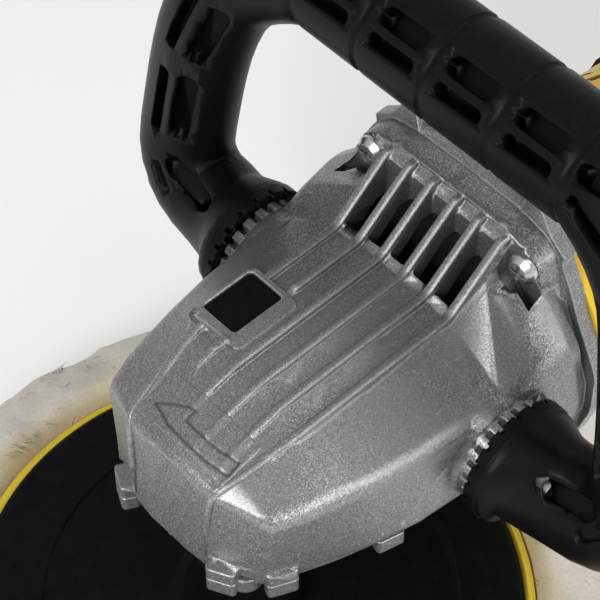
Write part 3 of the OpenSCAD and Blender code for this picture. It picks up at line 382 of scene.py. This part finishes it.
# %% Copies of the springs
for node, joint, axis, seat, length, stroke in (
        ("lock_spring", "lock_slide", (0, 0, 1), (-15 * mm, 11 * mm, plate_top + 99.1 * mm), 10.3, 4.15),
        ("trigger_spring", "trigger_pull", (0, 0, 1), (0, 246 * mm, plate_top + 65.3 * mm), 17.2, 3.6),
        ("lock_on_spring", "lock_on_slide", (1, 0, 0), (-3.75 * mm, 238 * mm, plate_top + 78 * mm), 6.8, 2.6)):
    coil = smooth_copy(node, node + "_coil", 40)
    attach(coil, "housing")
    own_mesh(coil)
    print(coil.name, len(coil.data.polygons), "faces")

# %% [markdown]
# ## Wool pad
#
# The real pad is a thick ring of cut lambswool on a yellow felt backing, and the backing plate sinks into it. A plain
# solid reads as foam, because wool shows its locks: soft lumps, a ragged outline and fine hairs that lie over each
# other. The pad is made in three steps. A closed profile is turned round the spindle, a little smaller than the real
# pad. Cloth with a light pressure then fills it out, so that it bulges between the plate and the floor as stuffing
# does. Last, clumps are raised from the surface with noise, and thousands of thin curled locks are laid over it.
# Where the skin lies under the plate or on the floor it stays flat.

# %% Profile of the pad
pad_r, _, pad_top = [float(v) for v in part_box("wool_pad")[1]]
plate_r = float(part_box("backing_plate")[1][0])
seat_z = float(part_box("pad_backing")[0][2]) - 0.0002

def round_corner(points, radius, steps=6):
    """Each corner p is swapped for the parabola (1-u)^2 a + 2u(1-u) p + u^2 b, whose ends a and b lie the corner's
    radius away on its two sides."""
    out = [points[0]]
    for before, corner, after, r in zip(points, points[1:], points[2:], radius):
        back, ahead = before - corner, after - corner
        a = corner + back / np.linalg.norm(back) * min(r, np.linalg.norm(back) / 2)
        b = corner + ahead / np.linalg.norm(ahead) * min(r, np.linalg.norm(ahead) / 2)
        u = np.linspace(0, 1, steps)[:, None]
        out.extend((1 - u) ** 2 * a + 2 * u * (1 - u) * corner + u ** 2 * b)
    return np.array(out + [points[-1]])

def even_steps(points, count):
    """The polyline walked by its own length: count points at equal distances along it."""
    length = np.concatenate([[0], np.cumsum(np.linalg.norm(np.diff(points, axis=0), axis=1))])
    at = np.linspace(0, length[-1], count)
    return np.stack([np.interp(at, length, points[:, k]) for k in (0, 1)], 1)

slack = 0.0035
corners = np.array([[0.004, 0.0003], [pad_r - slack - 0.001, 0.0003], [pad_r - slack, pad_top - slack],
                    [plate_r + 0.0075, pad_top - slack * 0.7], [plate_r + 0.0046, pad_top - 0.009],
                    [plate_r + 0.0032, seat_z], [0.004, seat_z]])
section = even_steps(round_corner(corners, [0.013, 0.014, 0.004, 0.002, 0.0005]), 96)
print("pad section", len(section), "points, radius", round(pad_r, 4), "top", round(pad_top, 4))

# %% Turning the profile and filling it with cloth
def turned(section, count):
    """Each section point (r, z) goes to (r cos a, r sin a, z) for count equal angles a."""
    a = np.linspace(0, 2 * math.pi, count, endpoint=False)[:, None]
    r, z = section[:, 0][None], section[:, 1][None]
    return np.stack([r * np.cos(a), r * np.sin(a), np.broadcast_to(z, (count, len(section)))], 2)

def turned_faces(rows, cols):
    """Quads between neighbouring angles, closed round the circle, and one disc at each end of the section."""
    i, j = np.meshgrid(np.arange(rows), np.arange(cols - 1), indexing="ij")
    k = (i + 1) % rows
    quads = np.stack([i * cols + j, k * cols + j, k * cols + j + 1, i * cols + j + 1], 2).reshape(-1, 4)
    discs = [list(range((rows - 1) * cols, -1, -cols)), list(range(cols - 1, rows * cols, cols))]
    return quads, discs

def build_mesh(name, points, faces):
    """A mesh from an array of points and blocks of faces that each have one number of corners."""
    mesh = bpy.data.meshes.new(name)
    mesh.vertices.add(len(points))
    mesh.vertices.foreach_set("co", np.ascontiguousarray(points, np.float32).ravel())
    sizes = np.concatenate([np.full(len(block), np.shape(block)[1], np.int32) for block in faces])
    loops = np.concatenate([np.ravel(block) for block in faces]).astype(np.int32)
    mesh.loops.add(len(loops))
    mesh.loops.foreach_set("vertex_index", loops)
    mesh.polygons.add(len(sizes))
    mesh.polygons.foreach_set("loop_start", np.concatenate([[0], np.cumsum(sizes)[:-1]]).astype(np.int32))
    mesh.polygons.foreach_set("use_smooth", np.ones(len(sizes), bool))
    mesh.update(calc_edges=True)
    mesh.validate()
    return mesh

def link(name, mesh, mat=None):
    """An object at the origin that shows the mesh with its material."""
    obj = bpy.data.objects.new(name, mesh)
    if mat is not None:
        mesh.materials.append(mat)
    bpy.context.scene.collection.objects.link(obj)
    return obj

def filled_out(grid, cap):
    """How far each grid point moves when the closed skin is blown up as cloth, held to the cap."""
    rows, cols = grid.shape[:2]
    quads, discs = turned_faces(rows, cols)
    skin = link("pad_filling", build_mesh("pad_filling", grid.reshape(-1, 3), [quads, [discs[0]], [discs[1]]]))
    cloth = skin.modifiers.new("filling", "CLOTH").settings
    cloth.use_pressure, cloth.uniform_pressure_force = True, 4.0
    cloth.effector_weights.gravity = 0.0
    cloth.quality, cloth.mass = 6, 0.3
    cloth.tension_stiffness = cloth.compression_stiffness = 12.0
    for frame_number in range(1, 21):
        bpy.context.scene.frame_set(frame_number)
    shown = skin.evaluated_get(bpy.context.evaluated_depsgraph_get()).to_mesh()
    moved = np.empty(len(shown.vertices) * 3, np.float32)
    shown.vertices.foreach_get("co", moved)
    bpy.data.objects.remove(skin)
    bpy.context.scene.frame_set(1)
    move = moved.reshape(grid.shape) - grid
    size = np.linalg.norm(move, axis=2, keepdims=True)
    return move * np.minimum(1.0, cap / np.maximum(size, 1e-9))

rest = turned(section[::2], 180)
swell = filled_out(rest, 4 * mm)
print("filling moves the skin by", round(float(np.linalg.norm(swell, axis=2).mean()) / mm, 2), "mm on average")

# %% Clumps
def lattice(cells, seed):
    """A repeatable random number from 0 to 1 for each whole-number cell."""
    mixed = cells[..., 0] * 73856093 ^ cells[..., 1] * 19349663 ^ cells[..., 2] * 83492791 ^ seed * 2654435761
    mixed = (mixed ^ (mixed >> 13)) * 1274126177
    return ((mixed ^ (mixed >> 16)) & 0xFFFF) / 65535.0

def clumps(points, size, seed):
    """Smooth noise from -1 to 1: random numbers at the corners of cubes of the given size, blended with the smooth
    step 3u^2 - 2u^3 along each axis."""
    where = points / size
    cell = np.floor(where).astype(np.int64)
    u = where - cell
    u = u * u * (3 - 2 * u)
    total = 0.0
    for dx in (0, 1):
        for dy in (0, 1):
            for dz in (0, 1):
                weight = (np.where(dx, u[..., 0], 1 - u[..., 0]) * np.where(dy, u[..., 1], 1 - u[..., 1])
                          * np.where(dz, u[..., 2], 1 - u[..., 2]))
                total = total + weight * lattice(cell + np.array([dx, dy, dz]), seed)
    return 2 * total - 1

def grid_normals(grid):
    """The cross product of the steps along the two grid directions, pointing away from the pad."""
    along = np.gradient(grid, axis=1)
    around = np.roll(grid, -1, 0) - np.roll(grid, 1, 0)
    cross = np.cross(around, along)
    return cross / np.maximum(np.linalg.norm(cross, axis=2, keepdims=True), 1e-12)

def finer(field, rows, cols):
    """A field on the coarse grid read at a finer one: straight lines between neighbours, closed round the circle."""
    a = np.arange(rows) * field.shape[0] / rows
    b = np.linspace(0, field.shape[1] - 1, cols)
    i, j = np.floor(a).astype(int), np.minimum(np.floor(b).astype(int), field.shape[1] - 2)
    u, v = (a - i)[:, None, None], (b - j)[None, :, None]
    k = (i + 1) % field.shape[0]
    low = field[i][:, j] * (1 - v) + field[i][:, j + 1] * v
    high = field[k][:, j] * (1 - v) + field[k][:, j + 1] * v
    return low * (1 - u) + high * u

fine = turned(section, 420)
radius = np.linalg.norm(fine[..., :2], axis=2)
free = np.clip((radius - plate_r - 0.0048) / 0.006, 0, 1) * (fine[..., 2] > 0.002)
fine = fine + finer(swell, *fine.shape[:2]) * free[..., None]
normal = grid_normals(fine)
lumps = 1.1 * mm * clumps(fine, 19 * mm, 3) + mm * clumps(fine, 8.5 * mm, 5) + 0.5 * mm * clumps(fine, 3.6 * mm, 9)
skin = fine + normal * (lumps * free + 0.0002 * clumps(fine, 0.004, 4) * (1 - free))[..., None]
skin[..., 2] = np.maximum(skin[..., 2], 0.0002)
print("skin", skin.shape, "outer radius", round(float(np.linalg.norm(skin[..., :2], axis=2).max()), 4))

# %% Locks of hair
def spread_roots(grid, normal, keep, count):
    """Seeded random points on the grid's quads, as many on each as its area and its share in keep ask for."""
    across = np.cross(np.roll(grid, -1, 0)[:, :-1] - grid[:, :-1], grid[:, 1:] - grid[:, :-1])
    share = (np.linalg.norm(across, axis=2) * keep[:, :-1]).ravel()
    pick = rng.choice(len(share), count, p=share / share.sum())
    i, j = pick // (grid.shape[1] - 1), pick % (grid.shape[1] - 1)
    u, v = rng.random((2, count, 1))
    k = (i + 1) % grid.shape[0]
    spot = (grid[i, j] * (1 - u) + grid[k, j] * u) * (1 - v) + (grid[i, j + 1] * (1 - u) + grid[k, j + 1] * u) * v
    return spot, normal[i, j]

def curled_locks(roots, normal, length, width, lift, rings=4):
    """Thin tapered hairs. Each centre line leaves its root along a lean direction between the surface's normal and a
    combed direction on the surface, bends over by the square of the way along it and curls in a small circle. Round
    it stand three-sided rings whose radius falls to the tip as 1 - t^2."""
    n = len(roots)
    side = np.cross(normal, [0.0, 0.0, 1.0])
    side /= np.maximum(np.linalg.norm(side, axis=1, keepdims=True), 1e-6)
    out = np.cross(side, normal)
    turn = 2.4 * clumps(roots, 0.016, 21) + 0.9 * clumps(roots, 0.005, 22) + rng.normal(0, 0.35, n)
    comb = side * np.cos(turn)[:, None] + out * np.sin(turn)[:, None]
    lean = normal * lift[:, None] + comb
    lean /= np.linalg.norm(lean, axis=1, keepdims=True)
    t = np.linspace(0, 1, rings + 1)[None, :, None]
    phase = rng.random((n, 1, 1)) * 2 * math.pi
    cross = np.cross(lean, normal)
    cross /= np.maximum(np.linalg.norm(cross, axis=1, keepdims=True), 1e-6)
    over = np.cross(cross, lean)
    curl = 0.0006 * t * (cross[:, None] * np.cos(4.2 * t + phase) + over[:, None] * np.sin(4.2 * t + phase))
    line = roots[:, None] + length[:, None, None] * (t * lean[:, None] - 0.34 * t ** 2 * normal[:, None]) + curl
    line = line - normal[:, None] * 0.0009
    a = np.arange(3) * 2 * math.pi / 3
    ring = (cross[:, None, None] * np.cos(a)[:, None] + over[:, None, None] * np.sin(a)[:, None])
    thick = width[:, None, None, None] * (1 - t[:, :rings, None] ** 2)
    body = (line[:, :rings, None] + thick * ring).reshape(n, rings * 3, 3)
    points = np.concatenate([body, line[:, rings:]], 1)
    points[..., 2] = np.maximum(points[..., 2], 0.0)
    quads = np.array([[r * 3 + s, r * 3 + (s + 1) % 3, r * 3 + 3 + (s + 1) % 3, r * 3 + 3 + s]
                      for r in range(rings - 1) for s in range(3)])
    last = (rings - 1) * 3
    tris = np.array([[2, 1, 0]] + [[last + s, last + (s + 1) % 3, rings * 3] for s in range(3)])
    start = (np.arange(n) * (rings * 3 + 1))[:, None, None]
    return points.reshape(-1, 3), (quads + start).reshape(-1, 4), (tris + start).reshape(-1, 3)

# %% Wool material and the finished pad
def wool():
    """Cut lambswool: a cream body whose tone varies in soft patches and fine fibres, and the backing's yellow shining
    through close to the plate."""
    mat, tree, shader = material("lambswool", Roughness=0.95, Sheen_Weight=0.25, Sheen_Roughness=0.6)
    where = add(tree, "ShaderNodeTexCoord").outputs["Object"]
    soft = add(tree, "ShaderNodeTexNoise", None, Vector=where, Scale=55.0, Detail=3.0).outputs["Fac"]
    hair = add(tree, "ShaderNodeTexNoise", None, Vector=where, Scale=900.0, Detail=3.0, Roughness=0.7).outputs["Fac"]
    tone = ramp(tree, soft, [(0.32, (0.50, 0.470, 0.410)), (0.68, (0.60, 0.570, 0.500))])
    fibre = ramp(tree, hair, [(0.3, (0.82, 0.81, 0.79)), (0.7, (1.0, 1.0, 1.0))])
    cream = mix(tree, 1.0, tone, fibre, "MULTIPLY")
    axes = add(tree, "ShaderNodeSeparateXYZ", None, Vector=where)
    flat = add(tree, "ShaderNodeCombineXYZ", None, X=axes.outputs[0], Y=axes.outputs[1])
    reach = add(tree, "ShaderNodeVectorMath", {"operation": "LENGTH"}, i0=flat.outputs[0]).outputs["Value"]
    wavy = maths(tree, "ADD", reach, maths(tree, "MULTIPLY", soft, 0.012))
    near = add(tree, "ShaderNodeMapRange", None, Value=wavy, From_Min=plate_r + 0.020, From_Max=plate_r + 0.008)
    high = add(tree, "ShaderNodeMapRange", None, Value=axes.outputs[2], From_Min=0.025, From_Max=0.035)
    stain = maths(tree, "MULTIPLY", maths(tree, "MULTIPLY", near.outputs[0], high.outputs[0]), 0.75)
    tree.links.new(mix(tree, stain, cream, (0.50, 0.36, 0.08)), shader.inputs["Base Color"])
    return mat

keep = free * np.where(skin[..., 2] > 6 * mm, 1.0, 0.35)
count = 11000
roots, stand = spread_roots(skin, normal, keep, count)
hairs, quads, tris = curled_locks(roots, stand, rng.uniform(0.004, 0.009, count),
                                  rng.uniform(0.00016, 0.00034, count), rng.uniform(0.04, 0.26, count))
skin_quads, discs = turned_faces(*skin.shape[:2])
base = skin.shape[0] * skin.shape[1]
pad_mesh = build_mesh("wool_cover", np.concatenate([skin.reshape(-1, 3), hairs]),
                      [skin_quads, [discs[0]], [discs[1]], quads + base, tris + base])
wool_cover = link("wool_cover", pad_mesh, wool())
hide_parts("wool_pad")
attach(wool_cover, "spindle")
print("wool cover", len(pad_mesh.polygons), "faces,", count, "locks")

# %% [markdown]
# ## Front of the gear head
#
# The real casting carries an arrow that shows which way the pad turns, let into the front of the roof, and a narrow
# raised border on each side of the middle panel, which runs forward along the roof, bends over the edge and drops
# down the front. Both are too shallow and too soft-edged for a cut solid. The arrow's panel is a thin plate over a
# small grid. It follows the roof and lies a little proud of it, so that the groove along the arrow's outline isn't
# filled by the roof, and its rim dips under. Each border is a half-round profile carried along a path that lies on
# the casting.

# %% Height of the roof
casting = bpy.data.objects["gear_head_casting"]
roof = BVHTree.FromObject(casting, bpy.context.evaluated_depsgraph_get())

def roof_height(x, y):
    """Where a line dropped at (x, y) meets the casting; x and y in metres."""
    above = plate_top + 0.2
    return roof.ray_cast(Vector((x, y, above)), Vector((0, 0, -1)))[0].z

def distance_to_path(points, path):
    """Shortest way from each point to a closed path: for each edge the point's shadow on it is held between its
    ends, and the least of all edges is kept."""
    best = np.full(points.shape[:-1], 1.0)
    for a, b in zip(path, np.roll(path, -1, 0)):
        along = np.clip(((points - a) @ (b - a)) / ((b - a) @ (b - a)), 0, 1)
        best = np.minimum(best, np.linalg.norm(points - a - along[..., None] * (b - a), axis=-1))
    return best

# %% Arrow panel
def bow(x, back):
    """The arrow's band follows the front edge: furthest forward in the middle, x and back in millimetres."""
    return back - 4.6 + 0.0085 * (x - 2.5) ** 2

# The band's rear edge, its front edge walked back, and the head, as corners in millimetres.
across = np.linspace(-3.0, 17.6, 12)
rear_edge = np.stack([across, bow(across, -14.5)], 1)
front_edge = np.stack([across[::-1] + 0.6, bow(across[::-1], -18.9)], 1)
head = [[-6.0, -23.1], [-10.0, -21.7], [-14.8, -20.3], [-10.4, -17.8], [-6.6, -15.9], [-3.2, -15.1]]
arrow = np.concatenate([rear_edge, front_edge, head]) * mm

def between(values, old, new):
    """A matrix that reads values given at the old places at the new ones, by straight lines."""
    return np.array([np.interp(new, old, row) for row in values])

# The roof is felt at few places. Where it dips, the plate bridges it from its front rim to its rear rim in an arch.
x, y = np.linspace(-18.4 * mm, 19.2 * mm, 190), np.linspace(-25.2 * mm, -9.8 * mm, 84)
coarse_x, coarse_y = np.linspace(x[0], x[-1], 40), np.linspace(y[0], y[-1], 18)
felt_at = np.array([[roof_height(float(v), float(w)) for w in coarse_y] for v in coarse_x])
share = ((coarse_y - y[0]) / (y[-1] - y[0]))[None]
arch = 0.18 * mm * np.sin(math.pi * share)
felt_at = np.maximum(felt_at, felt_at[:, :1] * (1 - share) + felt_at[:, -1:] * share + arch)
top = between(between(felt_at, coarse_y, y).T, coarse_x, x).T

# The last value sets how dark the groove is painted: a painted shade.
proud, deep, wide, thick, dip, dip_width, groove_shade_strength = 0.3 * mm, 0.22 * mm, 0.5 * mm, 1.2 * mm, 0.4 * mm, 0.8 * mm, 0.8
spot = np.stack(np.broadcast_arrays(x[:, None], y[None]), 2)
groove = np.exp(-(distance_to_path(spot, arrow) / wide) ** 2)
to_rim = np.minimum(spot - [x[0], y[0]], [x[-1], y[-1]] - spot).min(2)
height = top + proud - deep * groove - dip * (1 - np.clip(to_rim / dip_width, 0, 1)) ** 2
upper = np.concatenate([spot, height[..., None]], 2)
lower = upper - [0, 0, thick]

def slab(upper, lower):
    """A closed shell from two grids: the upper face, the lower face turned over and a wall round the rim."""
    rows, cols = upper.shape[:2]
    index = np.arange(rows * cols).reshape(rows, cols)
    quads = np.stack([index[:-1, :-1], index[1:, :-1], index[1:, 1:], index[:-1, 1:]], 2).reshape(-1, 4)
    rim = np.concatenate([index[:-1, 0], index[-1, :-1], index[:0:-1, -1], index[0, :0:-1]])
    ahead = np.roll(rim, -1)
    under = rows * cols
    wall = np.stack([rim, rim + under, ahead + under, ahead], 1)
    return np.concatenate([upper.reshape(-1, 3), lower.reshape(-1, 3)]), [quads, quads[:, ::-1] + under, wall]

panel = link("direction_arrow_panel", build_mesh("direction_arrow_panel", *slab(upper, lower)), silver)
# The upper face's points carry a painted shade along the groove, which darkens the paint there; the lower face carries
# none.
groove_shade_at = panel.data.attributes.new("painted_groove_shade", "FLOAT", "POINT")
both_faces = np.concatenate([groove.ravel() * groove_shade_strength, np.zeros(groove.size)])
groove_shade_at.data.foreach_set("value", both_faces.astype(np.float32))
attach(panel, "housing")
print("arrow panel", len(panel.data.polygons), "faces, groove", round(float(groove.max()) * deep / mm, 2), "mm deep")

# %% Borders of the middle panel
def rounded_path(points, radius, steps=7):
    """The corners of a space path swapped for parabolas, as on the pad's section."""
    return round_corner(np.asarray(points, float), [radius] * (len(points) - 2), steps)

def swept_bar(path, width, rise, sides=10):
    """A round bar that lies half sunk in the casting: at each path point stand the level side direction and the
    direction square to both, and the section (w cos a, h sin a) is laid out in them. It narrows towards both ends,
    and each end is closed by a face."""
    along = np.gradient(path, axis=0)
    along /= np.linalg.norm(along, axis=1, keepdims=True)
    side = np.cross(along, [1.0, 0, 0])
    side = np.cross(side, along)
    side /= np.linalg.norm(side, axis=1, keepdims=True)
    out = np.cross(side, along)
    out *= np.where(out[:, 2:] < out[:, 1:2], -1.0, 1.0)
    a = np.linspace(0, 2 * math.pi, sides, endpoint=False)[None, :, None]
    count = len(path)
    from_end = np.minimum(np.arange(count), np.arange(count)[::-1])
    ends = np.sqrt(np.clip(from_end / 3.0, 0.02, 1))[:, None, None]
    ring = path[:, None] + ends * (width * np.cos(a) * side[:, None] + rise * np.sin(a) * out[:, None])
    index = np.arange(count * sides).reshape(count, sides)
    turn = np.roll(index, -1, 1)
    quads = np.stack([index[:-1], turn[:-1], turn[1:], index[1:]], 2).reshape(-1, 4)
    return ring.reshape(-1, 3), [quads, [list(index[0, ::-1])], [list(index[-1])]]

def outward(mesh):
    """Faces turned to point away from the inside."""
    work = bmesh.new()
    work.from_mesh(mesh)
    bmesh.ops.recalc_face_normals(work, faces=work.faces)
    work.to_mesh(mesh)
    work.free()
    return mesh

# From the roof forward, over the edge and down the front, in millimetres from the spindle and above the plate.
line = [(24.2, -2.0, 115.8), (21.6, -14.6, 112.1), (19.6, -24.2, 109.4), (18.0, -28.0, 106.6), (16.9, -29.0, 99.3),
        (16.2, -29.5, 88.5), (15.6, -30.0, 74.5)]
for side, name in ((1, "panel_border_right"), (-1, "panel_border_left")):
    path = rounded_path(np.array(line) * [side * mm, mm, mm] + [0, 0, plate_top], 3.5 * mm)
    bar = link(name, outward(build_mesh(name, *swept_bar(path, 1.2 * mm, 1.2 * mm))), silver)
    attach(bar, "housing")
    print(name, len(bar.data.polygons), "faces")

# %% [markdown]
# ## Numbers on the speed dial
#
# A speed wheel is moulded with its steps numbered on the rim, and the digits are inlaid or printed in a pale colour.
# Each digit here is a thin extruded outline laid on the land between two finger grooves. The outline is turned into a
# mesh first, and its points are then placed, so that the finished piece sits at the origin like the rest.

# %% Digits round the rim
def digit(text, size, thick):
    """A text's outline, centred and extruded to both sides, as a mesh."""
    curve = bpy.data.curves.new("digit", "FONT")
    curve.body, curve.size, curve.extrude = text, size, thick
    curve.align_x = curve.align_y = "CENTER"
    holder = bpy.data.objects.new("digit", curve)
    mesh = bpy.data.meshes.new_from_object(holder)
    bpy.data.objects.remove(holder)
    return mesh

hub, wheel_r, sunk, first_land, apart = np.array([0, 0.288, plate_top + 87.6 * mm]), 12.5 * mm, 0.1 * mm, 7.5, 60
work = bmesh.new()
for step in range(6):
    turn = math.radians(first_land + apart * step)
    away, round_way = np.array([0, math.cos(turn), math.sin(turn)]), np.array([0, -math.sin(turn), math.cos(turn)])
    shape = digit(str(step + 1), 2.7 * mm, 0.15 * mm)
    shape.transform(pose(round_way, (1, 0, 0), away, hub + (wheel_r - sunk) * away))
    work.from_mesh(shape)
bmesh.ops.remove_doubles(work, verts=work.verts, dist=1e-6)
bmesh.ops.recalc_face_normals(work, faces=work.faces)
digits_mesh = bpy.data.meshes.new("dial_numbers")
work.to_mesh(digits_mesh)
work.free()
number_white = moulded("number_white", (0.75, 0.75, 0.73), 0.5, strength=0.1, speckle=0.05)
dial_numbers = link("dial_numbers", digits_mesh, number_white)
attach(dial_numbers, "speed_dial")
print("dial numbers", len(digits_mesh.polygons), "faces")

# %% [markdown]
# ## Floor and light
#
# A pale matt floor keeps the object's shadow. A plain white world lights it from all sides, and three soft boxes give
# the metal its highlights: a key from the front, a fill from above and behind, and one from the right.

# %% Floor, world and lamps
def area_light(name, place, target, size, power):
    """A square soft box at a place, turned to a target."""
    data = bpy.data.lights.new(name, "AREA")
    data.shape, data.size, data.energy = "SQUARE", size, power
    lamp = bpy.data.objects.new(name, data)
    back = np.subtract(place, target)
    back /= np.linalg.norm(back)
    right = np.cross([0, 0, 1.0], back)
    right /= np.linalg.norm(right)
    lamp.matrix_world = pose(right, np.cross(back, right), back, place)
    bpy.context.scene.collection.objects.link(lamp)

def floor_plane(half):
    """A flat square that reaches half its width to each side of the origin."""
    mesh = bpy.data.meshes.new("floor")
    mesh.from_pydata([(-half, -half, 0), (half, -half, 0), (half, half, 0), (-half, half, 0)], [], [(0, 1, 2, 3)])
    floor = bpy.data.objects.new("floor", mesh)
    bpy.context.scene.collection.objects.link(floor)
    return floor

floor = floor_plane(6.0)
floor_paint = material("floor_paint", Roughness=0.9, Base_Color=(0.90, 0.90, 0.90, 1))[0]
floor.data.materials.append(floor_paint)

world = bpy.data.worlds.new("studio")
bpy.context.scene.world = world
world.use_nodes = True
sky = world.node_tree.nodes["Background"].inputs
sky["Color"].default_value, sky["Strength"].default_value = (0.95, 0.95, 0.96, 1), 0.6
area_light("key", (0.40, -1.15, 1.1), (0, 0.05, 0.12), 0.7, 18)
area_light("fill", (0.35, 0.75, 1.5), (0, 0.05, 0.1), 0.8, 3)
area_light("side", (1.35, 0.15, 0.6), (0, 0.05, 0.1), 0.7, 8)
bpy.context.scene.view_settings.view_transform = "Standard"
